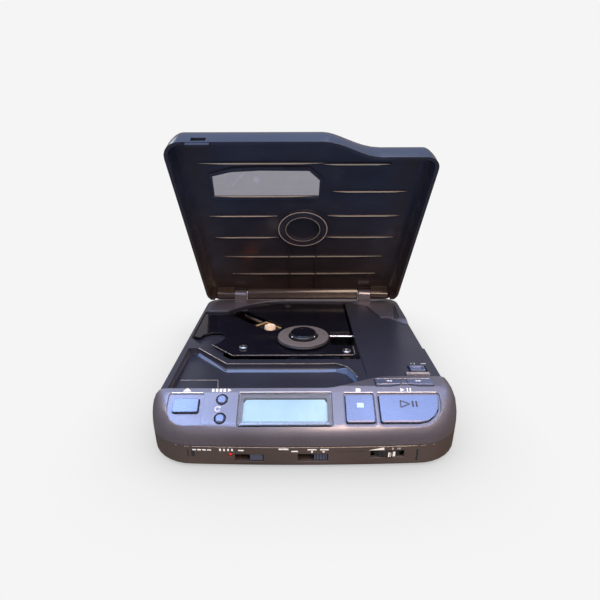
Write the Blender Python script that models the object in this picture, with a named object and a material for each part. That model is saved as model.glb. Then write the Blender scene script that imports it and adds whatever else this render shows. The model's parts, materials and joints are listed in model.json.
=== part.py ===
"""Portable CD player with its lid open.

The pieces are modelled about the disc's axis: X to the right, Y to the rear, Z up, with Z = 0 on the
flat underside of the case. One empty then stands the whole player on its feet, in the middle of its
own footprint.
"""

import math

import bmesh
import bpy
from mathutils import Matrix, Vector

MM = 0.001

# General clearances and walls
GAP = 0.3 * MM
WALL = 1.5 * MM
SKIN = 1.6 * MM
FLOOR = 1.6 * MM
OVERRUN = 4.0 * MM
BITE = 0.5 * MM
FILM = 0.6 * MM

# Where the disc's axis stands behind the middle of the footprint
AXIS_BEHIND_MIDDLE = 6.98 * MM

# Case outline and heights
HALF_WIDTH = 65.5 * MM
FRONT_REACH = 81.3 * MM
FRONT_BOW = 1.0 * MM
REAR_REACH = 66.5 * MM
FRONT_CORNER = 20.0 * MM
REAR_CORNER = 9.5 * MM
PARTING = 9.9 * MM
RIM = 18.4 * MM
SHOULDER = 12.4 * MM
SIDE_ROUND = 6.0 * MM
FRONT_ROUND = 3.2 * MM
BASE_TUCK = 0.2 * MM
BASE_ROUND = 1.4 * MM

# Control panel, whose rear edge steps forward to back between its left and right parts
PANEL_TOP = 26.6 * MM
PANEL_LONG = 16.1 * MM
PANEL_STEP = 8.6 * MM
PANEL_REAR = FRONT_REACH - PANEL_LONG
PANEL_REAR_RIGHT = PANEL_REAR - PANEL_STEP
STEP_LEFT = 9.0 * MM
STEP_RIGHT = 37.0 * MM
SLOPE = math.radians(31.3)
CREASE_ROUND = 2.0 * MM
PANEL_SKIN = 1.8 * MM

# Lid and hinge
LID_TOP = 29.2 * MM
LID_CROWN = 0.5 * MM
LID_INNER = 27.2 * MM
LID_WALL = 1.6 * MM
LID_FRONT_ROUND = 3.0 * MM
LID_LEFT_CORNER = 9.5 * MM
LID_RIGHT_CORNER = 7.5 * MM
LID_OPEN = math.radians(53.8)
HINGE_FROM_REAR = 3.8 * MM
HINGE_REACH = REAR_REACH - HINGE_FROM_REAR
HINGE_HEIGHT = 22.9 * MM
BARREL_RADIUS = 3.2 * MM
PIN_RADIUS = 1.0 * MM
BARREL_FROM_SIDE = 7.0 * MM
BARREL_LONG = 11.9 * MM
EAR_LONG = 8.0 * MM
BARREL_OUTSIDE = HALF_WIDTH - BARREL_FROM_SIDE
EAR_OUTSIDE = BARREL_OUTSIDE - BARREL_LONG
EAR_INSIDE = EAR_OUTSIDE - EAR_LONG

# Deck
RECESS_FLOOR = 14.4 * MM
SCOOP_FLOOR = 16.4 * MM
BLOCK_TOP = 19.1 * MM

# Mechanism plate and pickup slot
PLATE_TOP = 17.6 * MM
PLATE_THICK = 1.0 * MM
PLATE_FROM_SIDE = 2.5 * MM
PLATE_LEFT = HALF_WIDTH - PLATE_FROM_SIDE
PLATE_RIGHT = 27.4 * MM
PLATE_FRONT = 18.8 * MM
PLATE_FROM_REAR = 8.9 * MM
PLATE_REAR = REAR_REACH - PLATE_FROM_REAR
ARC_FROM_REAR = 2.5 * MM
PLATE_ARC = REAR_REACH - ARC_FROM_REAR
SLOT_ANGLE = math.radians(135.0)
SLOT_HALF = 5.75 * MM
SLOT_EDGE = 8.0 * MM
SLOT_FAR = PLATE_ARC - SLOT_EDGE
LENS_REACH = 28.3 * MM

# Turntable
PLATTER_RADIUS = 14.7 * MM
PLATTER_TOP = 19.6 * MM
HUB_RADIUS = 7.35 * MM
CORE_RADIUS = 5.6 * MM
CORE_TOP = 21.8 * MM

# Screws and feet, placed inwards from the right side and the rear; a minus sign counts from the left
# side or from the front
SCREW_INSETS = [(-11.8 * MM, 11.5 * MM), (11.8 * MM, 11.5 * MM), (-11.5 * MM, -23.3 * MM),
                (8.5 * MM, -31.3 * MM)]
FOOT_INSETS = [(-19.5 * MM, 9.7 * MM), (19.5 * MM, 9.7 * MM), (-19.5 * MM, -15.3 * MM),
               (19.5 * MM, -15.3 * MM)]
CASE_BOSS = 3.2 * MM
SCREW_HEAD = 2.3 * MM
SCREW_SHANK = 1.0 * MM
SCREW_HEAD_DEEP = 1.4 * MM
SCREW_SUNK = 0.5 * MM
SCREW_TIP = 11.6 * MM
FOOT_RADIUS = 4.5 * MM
FOOT_SUNK = 0.5 * MM
FOOT_PROUD = 0.8 * MM
FOOT_EDGE = 0.3 * MM
REAR_POST_BACK = 5.6 * MM
PLATE_POSTS = [(-32.5 * MM, -10.0 * MM), (23.0 * MM, -15.0 * MM), (-10.0 * MM, PLATE_REAR - REAR_POST_BACK)]
POST_RADIUS = 3.2 * MM
POST_TOP = 12.9 * MM
DAMPER_RADIUS = 3.6 * MM

# Where the first point of the front's bow stands, as a share of a step
START_SHARE = 0.35

# Counts of steps round curves
CORNER_STEPS = 9
SMALL_STEPS = 4
ROUND_STEPS = 5
CONTOUR_STEPS = 8
ROUND_SIDES = 28
SMALL_SIDES = 12

# Angles of a turn in degrees
QUARTER = 90
HALF_TURN = 180
THREE_QUARTERS = 270
FULL_TURN = 360


def inwards(inset, low, high):
    """A place measured in from the high end, or from the low end where the inset is negative."""
    return high - inset if inset > 0 else -low - inset


def from_edges(insets):
    """Places in plan from their insets from the case's edges."""
    return [(inwards(x, HALF_WIDTH, HALF_WIDTH), inwards(y, FRONT_REACH, REAR_REACH)) for x, y in insets]


def near_left(values):
    """A span given inwards from the case's left side; what else the values hold is kept."""
    x0, x1, *rest = values
    return (x0 - HALF_WIDTH, x1 - HALF_WIDTH, *rest)


def near_right(values):
    """A span given inwards from the case's right side; what else the values hold is kept."""
    x0, x1, *rest = values
    return (HALF_WIDTH - x0, HALF_WIDTH - x1, *rest)


CASE_SCREWS = from_edges(SCREW_INSETS)
FEET = from_edges(FOOT_INSETS)


def clear_scene():
    for old in list(bpy.data.objects):
        bpy.data.objects.remove(old, do_unlink=True)


def make_material(name, colour, roughness, metallic=0.0, alpha=1.0):
    made = bpy.data.materials.new(name)
    made.use_nodes = True
    shader = made.node_tree.nodes["Principled BSDF"]
    shader.inputs["Base Color"].default_value = (*colour, 1.0)
    shader.inputs["Roughness"].default_value = roughness
    shader.inputs["Metallic"].default_value = metallic
    shader.inputs["Alpha"].default_value = alpha
    return made


# Solids from loops of points

def solid(vertices, faces):
    """A closed mesh object with its faces pointing out."""
    mesh = bpy.data.meshes.new("piece")
    mesh.from_pydata([tuple(v) for v in vertices], [], faces)
    work = bmesh.new()
    work.from_mesh(mesh)
    bmesh.ops.recalc_face_normals(work, faces=work.faces)
    work.to_mesh(mesh)
    work.free()
    made = bpy.data.objects.new("piece", mesh)
    bpy.context.scene.collection.objects.link(made)
    return made


def ladder(count, flip):
    """Faces across a loop whose first half mirrors its second half."""
    half = count // 2
    faces = []
    for i in range(half - 1):
        face = [half - 1 - i, half + i, half + i + 1, half - 2 - i]
        faces.append(face[::-1] if flip else face)
    return faces


def stack(rings, mirrored=False):
    """A solid through closed loops of equal length, listed from the bottom up."""
    count = len(rings[0])
    vertices = [point for ring in rings for point in ring]
    faces = []
    for level in range(len(rings) - 1):
        low, high = level * count, (level + 1) * count
        for i in range(count):
            j = (i + 1) % count
            faces.append([low + i, low + j, high + j, high + i])
    last = (len(rings) - 1) * count
    if mirrored:
        faces += ladder(count, True)
        faces += [[last + v for v in face] for face in ladder(count, False)]
    else:
        faces.append(list(range(count))[::-1])
        faces.append([last + i for i in range(count)])
    return solid(vertices, faces)


def at_height(outline, height):
    return [(x, y, height) for x, y in outline]


def prism(outline, low, high):
    return stack([at_height(outline, low), at_height(outline, high)])


def block(x0, x1, y0, y1, z0, z1):
    return prism([(x0, y0), (x1, y0), (x1, y1), (x0, y1)], z0, z1)


def turned(profile, sides=ROUND_SIDES):
    """A profile of (radius, height) pairs turned about Z, with flat ends unless it is a ring."""
    turns = [2 * math.pi * k / sides for k in range(sides)]
    rings = [(r, height) for r, height in profile if r]
    loops = [[(r * math.cos(turn), r * math.sin(turn), height) for turn in turns] for r, height in rings]
    if len(loops) < len(profile):
        return stack(loops)
    count = len(loops)
    vertices = [point for loop in loops for point in loop]
    faces = []
    for i in range(count):
        low, high = i * sides, (i + 1) % count * sides
        for k in range(sides):
            m = (k + 1) % sides
            faces.append([low + k, low + m, high + m, high + k])
    return solid(vertices, faces)


def drum(radius, low, high, sides=SMALL_SIDES):
    return turned([(0, low), (radius, low), (radius, high), (0, high)], sides)


def moved(piece, x=0, y=0, z=0):
    piece.data.transform(Matrix.Translation((x, y, z)))
    return piece


def turned_to(piece, matrix):
    piece.data.transform(matrix)
    return piece


def along_x(piece):
    """Lays a piece made about Z along X."""
    return turned_to(piece, Matrix.Rotation(math.pi / 2, 4, "Y"))


# Booleans, applied as they are made

def combine(target, tool, operation):
    step = target.modifiers.new("step", "BOOLEAN")
    step.operation = operation
    step.solver = "EXACT"
    step.object = tool
    graph = bpy.context.evaluated_depsgraph_get()
    shaped = bpy.data.meshes.new_from_object(target.evaluated_get(graph))
    target.modifiers.clear()
    target.data = shaped
    bpy.data.objects.remove(tool, do_unlink=True)


def cut(target, *tools):
    for tool in tools:
        combine(target, tool, "DIFFERENCE")
    return target


def join(target, *tools):
    for tool in tools:
        combine(target, tool, "UNION")
    return target


# Outlines in plan

def arc(cx, cy, radius, start, end, steps):
    points = []
    for i in range(steps + 1):
        turn = math.radians(start + (end - start) * i / steps)
        points.append((cx + radius * math.cos(turn), cy + radius * math.sin(turn)))
    return points


def rounded(x0, x1, y0, y1, radii, steps=SMALL_STEPS):
    """A rectangle with corner radii for front left, front right, rear right and rear left."""
    if not isinstance(radii, tuple):
        radii = (radii,) * 4
    a, b, c, d = radii
    return (arc(x0 + a, y0 + a, a, HALF_TURN, THREE_QUARTERS, steps)
            + arc(x1 - b, y0 + b, b, THREE_QUARTERS, FULL_TURN, steps)
            + arc(x1 - c, y1 - c, c, 0, QUARTER, steps) + arc(x0 + d, y1 - d, d, QUARTER, HALF_TURN, steps))


def normals(outline):
    found = []
    count = len(outline)
    for i in range(count):
        (x0, y0), (x1, y1) = outline[i - 1], outline[(i + 1) % count]
        length = math.hypot(x1 - x0, y1 - y0)
        found.append(((y1 - y0) / length, (x0 - x1) / length))
    return found


def inset(outline, x_amount, y_amount=None):
    if y_amount is None:
        y_amount = x_amount
    return [(x - nx * x_amount, y - ny * y_amount)
            for (x, y), (nx, ny) in zip(outline, normals(outline))]


def case_outline():
    """The case in plan, its left half first and its right half the mirror of it."""
    corner_x, corner_y = HALF_WIDTH - FRONT_CORNER, FRONT_CORNER - FRONT_REACH
    half = []
    for i in range(SMALL_STEPS):
        share = (i + START_SHARE) / SMALL_STEPS
        half.append((corner_x * share, -FRONT_REACH - FRONT_BOW * (1 - share * share)))
    half += arc(corner_x, corner_y, FRONT_CORNER, THREE_QUARTERS, FULL_TURN, CORNER_STEPS)
    half += arc(HALF_WIDTH - REAR_CORNER, REAR_REACH - REAR_CORNER, REAR_CORNER, 0, QUARTER, SMALL_STEPS + 1)
    return [(-x, y) for x, y in half[::-1]] + half


def panel_height(y):
    """The panel's top at y: level behind its crease, then falling to the front at the slope."""
    fall = math.tan(SLOPE)
    ahead = -PANEL_REAR + CREASE_ROUND - y
    if ahead <= 0:
        return PANEL_TOP
    if ahead < 2 * CREASE_ROUND:
        return PANEL_TOP - fall * ahead * ahead / (4 * CREASE_ROUND)
    return PANEL_TOP - fall * (ahead - CREASE_ROUND)


def dome_rings(outline, wall, skin, top, side_round, front_round, start=0.0):
    """Loops that curve in from the shoulder to the top, like a quarter of an ellipse."""
    rings = []
    along = normals(outline)
    for i in range(ROUND_STEPS + 1):
        turn = start + (math.pi / 2 - start) * i / ROUND_STEPS
        tuck = 1 - math.cos(turn)
        ring = []
        for (x, y), (nx, ny) in zip(outline, along):
            px = x - nx * (wall + side_round * tuck)
            py = y - ny * (wall + front_round * tuck)
            ring.append((px, py, SHOULDER + (top(py) - skin - SHOULDER) * math.sin(turn)))
        rings.append(ring)
    return rings


def panel_contour(back=0.0):
    """The rear edge of the control panel from left to right, moved back by the given amount."""
    points = [(-PANEL_REAR, -PANEL_REAR + back)]
    for i in range(CONTOUR_STEPS + 1):
        share = i / CONTOUR_STEPS
        ease = share * share * (3 - 2 * share)
        x = STEP_LEFT + (STEP_RIGHT - STEP_LEFT) * share
        points.append((x, -PANEL_REAR + (PANEL_REAR - PANEL_REAR_RIGHT) * ease + back))
    points.append((PANEL_REAR, -PANEL_REAR_RIGHT + back))
    return points


def behind_panel(back, low, high):
    """Everything behind the panel's rear edge between two heights."""
    line = panel_contour(back)
    wide = HALF_WIDTH + OVERRUN
    line[0] = (-wide, line[0][1])
    line[-1] = (wide, line[-1][1])
    return prism(line + [(wide, REAR_REACH + OVERRUN), (-wide, REAR_REACH + OVERRUN)], low, high)


def ahead_of_panel(back, low, high):
    line = panel_contour(back)
    wide = HALF_WIDTH + OVERRUN
    line[0] = (-wide, line[0][1])
    line[-1] = (wide, line[-1][1])
    front = -FRONT_REACH - FRONT_BOW - OVERRUN
    return prism([(-wide, front), (wide, front)] + line[::-1], low, high)


def profile_along_x(points, x0, x1):
    """A closed profile of (y, z) points carried from x0 to x1."""
    return stack([[(x0, y, z) for y, z in points], [(x1, y, z) for y, z in points]])


def panel_matrix():
    """Places what is drawn flat on the sloping panel: X across, Y up the slope, Z out of it."""
    return Matrix.Translation((0, -PANEL_REAR, PANEL_TOP)) @ Matrix.Rotation(SLOPE, 4, "X")


def drawn(outline, low, high):
    """A prism drawn flat from an outline of (x, distance down the slope) points."""
    return prism([(x, -down) for x, down in outline][::-1], low, high)


def on_panel(piece):
    return turned_to(piece, panel_matrix())


def grown(outline, amount):
    return inset(outline, -amount)


# The top case: its openings are named here and shared with the pieces that stand in them

LCD_INSET = 38.2 * MM
LCD_LENS = (LCD_INSET - HALF_WIDTH, 11.3 * MM, 2.6 * MM, 17.4 * MM)
LCD_BORDER = 2.1 * MM
LENS_DEEP = 1.1 * MM
LENS_CORNER = 1.0 * MM
DISH_INSETS = (9.2 * MM, 24.1 * MM, 2.6 * MM, 16.5 * MM)
OPEN_DISH = near_left(DISH_INSETS)
DISH_CORNER = 8.0 * MM
DISH_DEEP = 0.7 * MM
OPEN_INSETS = (11.9 * MM, 22.1 * MM, 5.3 * MM, 11.2 * MM)
OPEN_CAP = near_left(OPEN_INSETS)
STOP_WELL = (15.9 * MM, 28.6 * MM, 2.8 * MM, 17.3 * MM)
STOP_CAP = (16.7 * MM, 28.0 * MM, 4.0 * MM, 15.8 * MM)
PLAY_WELL_INSET = 9.7 * MM
PLAY_CAP_INSET = 10.9 * MM
PLAY_WELL = (29.7 * MM, HALF_WIDTH - PLAY_WELL_INSET, 2.8 * MM, 17.3 * MM)
PLAY_CAP = (30.5 * MM, HALF_WIDTH - PLAY_CAP_INSET, 4.0 * MM, 15.8 * MM)
PLAY_CORNER = 10.0 * MM
WELL_CORNER = 1.2 * MM
CAP_CORNER = 0.8 * MM
CAP_PROUD = 1.3 * MM
FLANGE = 0.9 * MM
DOT_INSET = 31.5 * MM
DOT_X = DOT_INSET - HALF_WIDTH
MODE_DOWN = 5.6 * MM
REPEAT_DOWN = 13.8 * MM
DOT_RADIUS = 2.0 * MM
DOT_SOCKET = 2.5 * MM
ROCKER_INSET = 11.1 * MM
ROCKER_AHEAD = 0.8 * MM
ROCKER_REAR = 5.9 * MM
ROCKER = (30.2 * MM, HALF_WIDTH - ROCKER_INSET, ROCKER_AHEAD - PANEL_REAR, ROCKER_REAR - PANEL_REAR)
ROCKER_WAIST = 3.2 * MM
ROCKER_TOP = 27.3 * MM
ROCKER_PIVOT_HEIGHT = 25.4 * MM
LATCH_INSETS = (15.1 * MM, 20.5 * MM)
LATCH_X = near_left(LATCH_INSETS)
LATCH_Z = (20.3 * MM, 21.3 * MM)
PANEL_WALL = 1.2 * MM

RECESS_FROM_SIDE = 3.6 * MM
RECESS_LEFT = HALF_WIDTH - RECESS_FROM_SIDE
RECESS_CORNER = 5.4 * MM
RECESS_EDGE = [(RECESS_CORNER - RECESS_LEFT, -11.6 * MM), (-38.6 * MM, -29.4 * MM), (8.0 * MM, -29.6 * MM),
               (16.3 * MM, -29.3 * MM), (21.6 * MM, -32.9 * MM), (24.6 * MM, -39.6 * MM),
               (25.1 * MM, -43.2 * MM)]
RECESS_FILLET = 2.6 * MM
RECESS_LEDGE = 0.4 * MM
SCOOP_INSET = 10.8 * MM
SCOOP = (HALF_WIDTH - SCOOP_INSET, -13.0 * MM, 29.0 * MM)
SCOOP_RAMP = 5.0 * MM
BAY_EDGE = 0.5 * MM
BAY_FRONT_EDGE = 6.0 * MM
BAY_DIAGONAL_INSETS = [(6.6 * MM, -4.5 * MM), (13.9 * MM, -12.0 * MM)]
BAY_LEFT_END = 2.1 * MM
NOTCH_FLOOR = 15.6 * MM
NOTCH_TRAY_INSETS = [(22.5 * MM, 11.5 * MM), (-1.5 * MM, 11.5 * MM), (-1.5 * MM, -6.5 * MM),
                     (5.0 * MM, -6.5 * MM), (12.3 * MM, -14.0 * MM), (22.5 * MM, -23.5 * MM)]
NOTCH_TRAY = [(x - HALF_WIDTH, y) for x, y in NOTCH_TRAY_INSETS]
BAY_RIGHT_EDGE = 1.6 * MM
BLOCK_INSETS = [(31.2 * MM, 9.7 * MM), (22.7 * MM, 15.8 * MM), (16.7 * MM, 35.5 * MM),
                (8.5 * MM, 37.1 * MM), (5.1 * MM, 15.2 * MM), (7.5 * MM, 9.7 * MM)]
RIGHT_BLOCK = from_edges(BLOCK_INSETS)
LEFT_BLOCK_LONG = 24.0 * MM
LEFT_BLOCK_IN = 2.9 * MM
LEFT_BLOCK_BACK = 4.1 * MM
LEFT_BLOCK_FRONT = REAR_REACH - LEFT_BLOCK_LONG
LEFT_BLOCK_SIDE = HALF_WIDTH - LEFT_BLOCK_IN
LEFT_BLOCK_REAR = REAR_REACH - LEFT_BLOCK_BACK
LEFT_BLOCK_RADIUS = PLATE_ARC + BAY_EDGE * 2
LEFT_BLOCK_END = 101
SEAM_FROM_PLATE = 1.6 * MM
SEAM = ((27.5 * MM, PLATE_REAR - SEAM_FROM_PLATE), (29.9 * MM, -41.0 * MM))
SEAM_WIDE = 0.5 * MM
SEAM_DEEP = 0.5 * MM
GROOVE_INSETS = [(3.8 * MM, 13.5 * MM), (5.3 * MM, 35.5 * MM)]
GROOVE = from_edges(GROOVE_INSETS)
GROOVE_WIDE = 0.8 * MM
SWITCH_INSETS = (14.6 * MM, 5.5 * MM, 18.0 * MM, 24.6 * MM)
LIP_INSETS = (16.8 * MM, 5.4 * MM, 14.9 * MM, 17.4 * MM)
SWITCH_LIP_PROUD = 0.7 * MM
EAR_RADIUS = 3.3 * MM
EAR_WEB_FRONT = 3.2 * MM
EAR_WEB_REAR = 0.9 * MM
JACK_ROWS = (-40.0 * MM, -28.0 * MM, -14.0 * MM)


def behind_shelf(insets):
    """A rectangle inwards from the right side and behind the right part of the panel."""
    x0, x1, y0, y1 = near_right(insets)
    return (x0, x1, y0 - PANEL_REAR_RIGHT, y1 - PANEL_REAR_RIGHT)


SWITCH_WINDOW = behind_shelf(SWITCH_INSETS)
SWITCH_LIP = behind_shelf(LIP_INSETS)


def case_rings(levels):
    """Rings of the case outline for (inset, height) pairs."""
    outline = case_outline()
    return [at_height(inset(outline, amount), height) for amount, height in levels]


def bar_between(start, end, wide, low, high):
    """A straight bar in plan from one point to another."""
    (x0, y0), (x1, y1) = start, end
    length = math.hypot(x1 - x0, y1 - y0)
    nx, ny = (y1 - y0) / length * wide / 2, (x0 - x1) / length * wide / 2
    return prism([(x0 + nx, y0 + ny), (x1 + nx, y1 + ny), (x1 - nx, y1 - ny), (x0 - nx, y0 - ny)], low, high)


def recess_outline():
    """The lower front of the deck: the panel's rear wall in front, a stepped edge behind."""
    wall = [(x, y) for x, y in panel_contour(RECESS_LEDGE) if -RECESS_LEFT < x < RECESS_EDGE[-1][0]]
    share = (RECESS_EDGE[-1][0] - STEP_LEFT) / (STEP_RIGHT - STEP_LEFT)
    ease = share * share * (3 - 2 * share)
    wall.append((RECESS_EDGE[-1][0], -PANEL_REAR + (PANEL_REAR - PANEL_REAR_RIGHT) * ease + RECESS_LEDGE))
    left_rear = (-RECESS_LEFT, RECESS_EDGE[0][1])
    return [(-RECESS_LEFT, -PANEL_REAR + RECESS_LEDGE)] + wall + RECESS_EDGE[::-1] + [left_rear]


def recess_cutter():
    outline = recess_outline()
    rings = []
    for i in range(SMALL_STEPS + 1):
        turn = math.pi / 2 * i / SMALL_STEPS
        height = RECESS_FLOOR + RECESS_FILLET * (1 - math.cos(turn))
        rings.append(at_height(inset(outline, RECESS_FILLET * (1 - math.sin(turn))), height))
    rings.append(at_height(outline, RIM + OVERRUN))
    return stack(rings)


PLATE_ARC_SPAN = (112, 138)
PLATE_CORNER_INSET = 28.1 * MM
PLATE_STEP_INSET = 14.7 * MM
PLATE_STEP_BACK = 25.2 * MM
PLATE_CORNER_X = PLATE_CORNER_INSET - HALF_WIDTH
PLATE_STEP_X = PLATE_STEP_INSET - HALF_WIDTH
PLATE_STEP_Y = REAR_REACH - PLATE_STEP_BACK
PLATE_NOTCH_Y = 5.5 * MM
NOTCH_INSETS = [(6.5 * MM, 3.7 * MM), (7.9 * MM, 8.0 * MM), (12.1 * MM, 10.6 * MM), (17.5 * MM, 10.6 * MM),
                (20.3 * MM, 7.4 * MM), (20.8 * MM, 2.9 * MM), (19.5 * MM, -1.7 * MM), (15.8 * MM, -6.2 * MM)]
PLATE_NOTCH = [(x - HALF_WIDTH, y) for x, y in NOTCH_INSETS]


def plate_outline():
    """The mechanism plate in plan, with its finger notch."""
    points = [(PLATE_CORNER_X, -PLATE_FRONT), (PLATE_RIGHT, -PLATE_FRONT), (PLATE_RIGHT, PLATE_REAR)]
    points += arc(0, 0, PLATE_ARC, *PLATE_ARC_SPAN, SMALL_STEPS * 2)
    points += [(PLATE_STEP_X, PLATE_STEP_Y), (-PLATE_LEFT, PLATE_STEP_Y), (-PLATE_LEFT, PLATE_NOTCH_Y)]
    points += PLATE_NOTCH
    return points


def bay_outline():
    """The opening in the deck that the mechanism plate stands in."""
    left = -PLATE_LEFT - GAP
    right = PLATE_RIGHT + BAY_RIGHT_EDGE
    front = -PLATE_FRONT - BAY_FRONT_EDGE
    points = [(PLATE_CORNER_X, front), (right, front), (right, PLATE_REAR + BAY_EDGE)]
    points += arc(0, 0, PLATE_ARC + BAY_EDGE, *PLATE_ARC_SPAN, SMALL_STEPS * 2)
    points += [(PLATE_STEP_X, PLATE_STEP_Y + BAY_EDGE), (left, PLATE_STEP_Y + BAY_EDGE), (left, BAY_LEFT_END)]
    points += [(x - HALF_WIDTH, y) for x, y in BAY_DIAGONAL_INSETS]
    return points


def left_block():
    inner = []
    start = math.degrees(math.asin(LEFT_BLOCK_FRONT / LEFT_BLOCK_RADIUS))
    for x, y in arc(0, 0, LEFT_BLOCK_RADIUS, HALF_TURN - start, LEFT_BLOCK_END, SMALL_STEPS * 2):
        inner.append((x, min(y, LEFT_BLOCK_REAR - FILM)))
    rear = [(inner[-1][0], LEFT_BLOCK_REAR), (REAR_CORNER - LEFT_BLOCK_SIDE, LEFT_BLOCK_REAR)]
    corner = arc(REAR_CORNER - LEFT_BLOCK_SIDE, LEFT_BLOCK_REAR - REAR_CORNER, REAR_CORNER, QUARTER,
                 HALF_TURN, SMALL_STEPS)[1:]
    return prism(inner + rear + corner + [(-LEFT_BLOCK_SIDE, LEFT_BLOCK_FRONT)], RIM - BITE, BLOCK_TOP)


def hinge_ear(x0, x1):
    """A fixed hinge knuckle on a web that stands on the deck."""
    start = math.degrees(-math.acos(EAR_WEB_REAR / EAR_RADIUS))
    end = FULL_TURN - math.degrees(math.acos(-EAR_WEB_FRONT / EAR_RADIUS))
    points = [(HINGE_REACH - EAR_WEB_FRONT, RIM - BITE), (HINGE_REACH + EAR_WEB_REAR, RIM - BITE)]
    points += arc(HINGE_REACH, HINGE_HEIGHT, EAR_RADIUS, start, end, SMALL_SIDES)
    return profile_along_x(points, x0, x1)


def make_top_case():
    outline = case_outline()
    rings = [at_height(outline, PARTING)]
    rings += dome_rings(outline, 0, 0, panel_height, SIDE_ROUND, FRONT_ROUND)
    case = stack(rings, mirrored=True)
    hollow = [[(x, y, PARTING - OVERRUN) for x, y in inset(outline, WALL)]]
    hollow += dome_rings(outline, WALL, PANEL_SKIN, panel_height, SIDE_ROUND, FRONT_ROUND)
    inner = stack(hollow, mirrored=True)
    top = LID_TOP + OVERRUN
    cut(inner, behind_panel(-PANEL_WALL, RIM - SKIN, top))
    cut(inner, prism(grown(recess_outline(), SKIN), RECESS_FLOOR - SKIN, top))
    cut(inner, prism(NOTCH_TRAY, NOTCH_FLOOR - SKIN, top))
    x0, y0, y1 = SCOOP
    cut(inner, block(x0 - SKIN, HALF_WIDTH + OVERRUN, y0 - SKIN, y1 + SKIN, SCOOP_FLOOR - SKIN, top))
    cut(case, behind_panel(0, RIM, top))
    cut(case, inner)
    cut(case, recess_cutter())
    floor, above = SCOOP_FLOOR, RIM + OVERRUN
    cut(case, profile_along_x([(y0, above), (y0, floor), (y1 - SCOOP_RAMP, floor), (y1, RIM), (y1, above)],
                              x0, HALF_WIDTH + OVERRUN))
    bay = prism(bay_outline(), NOTCH_FLOOR - SKIN - OVERRUN, RIM + OVERRUN)
    cut(bay, prism(NOTCH_TRAY, NOTCH_FLOOR - SKIN - OVERRUN * 2, NOTCH_FLOOR))
    cut(case, bay)
    join(case, prism(RIGHT_BLOCK, RIM - BITE, BLOCK_TOP), left_block())
    cut(case, bar_between(*SEAM, SEAM_WIDE, RIM - SEAM_DEEP, RIM + OVERRUN))
    cut(case, bar_between(*GROOVE, GROOVE_WIDE, RIM - SEAM_DEEP, BLOCK_TOP + OVERRUN))
    x0, x1, y0, y1 = SWITCH_LIP
    join(case, block(x0, x1, y0, y1, RIM - BITE, RIM + SWITCH_LIP_PROUD))
    x0, x1, y0, y1 = SWITCH_WINDOW
    cut(case, block(x0, x1, y0, y1, RIM - SKIN - OVERRUN, RIM + OVERRUN))
    for side in (-1, 1):
        x0, x1 = sorted((side * EAR_INSIDE, side * EAR_OUTSIDE))
        join(case, hinge_ear(x0, x1))
        cut(case, pin_hole(*sorted((side * (EAR_INSIDE - OVERRUN), side * (EAR_OUTSIDE + OVERRUN)))))
    cut_panel(case)
    for x, y in CASE_SCREWS:
        ceiling = RECESS_FLOOR if x < 0 and y < 0 else RIM
        join(case, moved(drum(CASE_BOSS, PARTING, ceiling - BITE), x, y))
        cut(case, moved(drum(SCREW_SHANK + GAP / 2, PARTING - OVERRUN, SCREW_TIP + GAP), x, y))
    return case


def pin_hole(x0, x1):
    return moved(along_x(drum(PIN_RADIUS + GAP / 2, x0, x1)), 0, HINGE_REACH, HINGE_HEIGHT)


def rocker_outline(extra=0.0):
    """A bar pinched in at its middle."""
    x0, x1, y0, y1 = ROCKER
    middle, across = (x0 + x1) / 2, (y0 + y1) / 2
    waist = ROCKER_WAIST / 2
    quarter = (x1 - x0) / 4
    points = [(x0, y0), (x0 + quarter, y0), (middle, across - waist), (x1 - quarter, y0), (x1, y0)]
    points += [(x1, y1), (x1 - quarter, y1), (middle, across + waist), (x0 + quarter, y1), (x0, y1)]
    return grown(points, extra) if extra else points


def down_rect(values, radii, extra=0.0):
    """A rounded rectangle from (left, right, upper, lower) distances on the panel."""
    x0, x1, d0, d1 = values
    return rounded(x0 - extra, x1 + extra, d0 - extra, d1 + extra, radii)


def cut_panel(case):
    """The wells, sockets and windows of the sloping panel and the shelf behind it."""
    deep = -PANEL_SKIN - OVERRUN
    lens = down_rect(LCD_LENS, LENS_CORNER)
    cut(case, on_panel(drawn(lens, -LENS_DEEP, OVERRUN)))
    cut(case, on_panel(drawn(down_rect(LCD_LENS, LENS_CORNER, -LCD_BORDER), deep, OVERRUN)))
    dish = down_rect(OPEN_DISH, (WELL_CORNER, WELL_CORNER, WELL_CORNER, DISH_CORNER))
    cut(case, on_panel(drawn(dish, -DISH_DEEP, OVERRUN)))
    cut(case, on_panel(drawn(down_rect(OPEN_CAP, CAP_CORNER, GAP), deep, OVERRUN)))
    stop = down_rect(STOP_WELL, WELL_CORNER)
    play = down_rect(PLAY_WELL, (WELL_CORNER, WELL_CORNER, PLAY_CORNER, WELL_CORNER))
    for well, cap, corners in ((stop, STOP_CAP, CAP_CORNER), (play, PLAY_CAP, play_corners())):
        cut(case, on_panel(drawn(well, -DISH_DEEP, OVERRUN)))
        cut(case, on_panel(drawn(down_rect(cap, corners, GAP), deep, OVERRUN)))
    for down in (MODE_DOWN, REPEAT_DOWN):
        hole = arc(DOT_X, down, DOT_SOCKET, 0, FULL_TURN, SMALL_SIDES)[:-1]
        cut(case, on_panel(drawn(hole, deep, OVERRUN)))
    cut(case, prism(rocker_outline(GAP), PANEL_TOP - PANEL_SKIN - OVERRUN, PANEL_TOP + OVERRUN))
    x0, x1 = LATCH_X
    z0, z1 = LATCH_Z
    y0, y1 = -PANEL_REAR - SKIN - OVERRUN, -PANEL_REAR + OVERRUN
    cut(case, block(x0 - GAP, x1 + GAP, y0, y1, z0 - GAP, z1 + GAP))


def play_corners():
    return (CAP_CORNER, CAP_CORNER, PLAY_CORNER - CAP_CORNER, CAP_CORNER)


# Pieces on the panel

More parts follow.
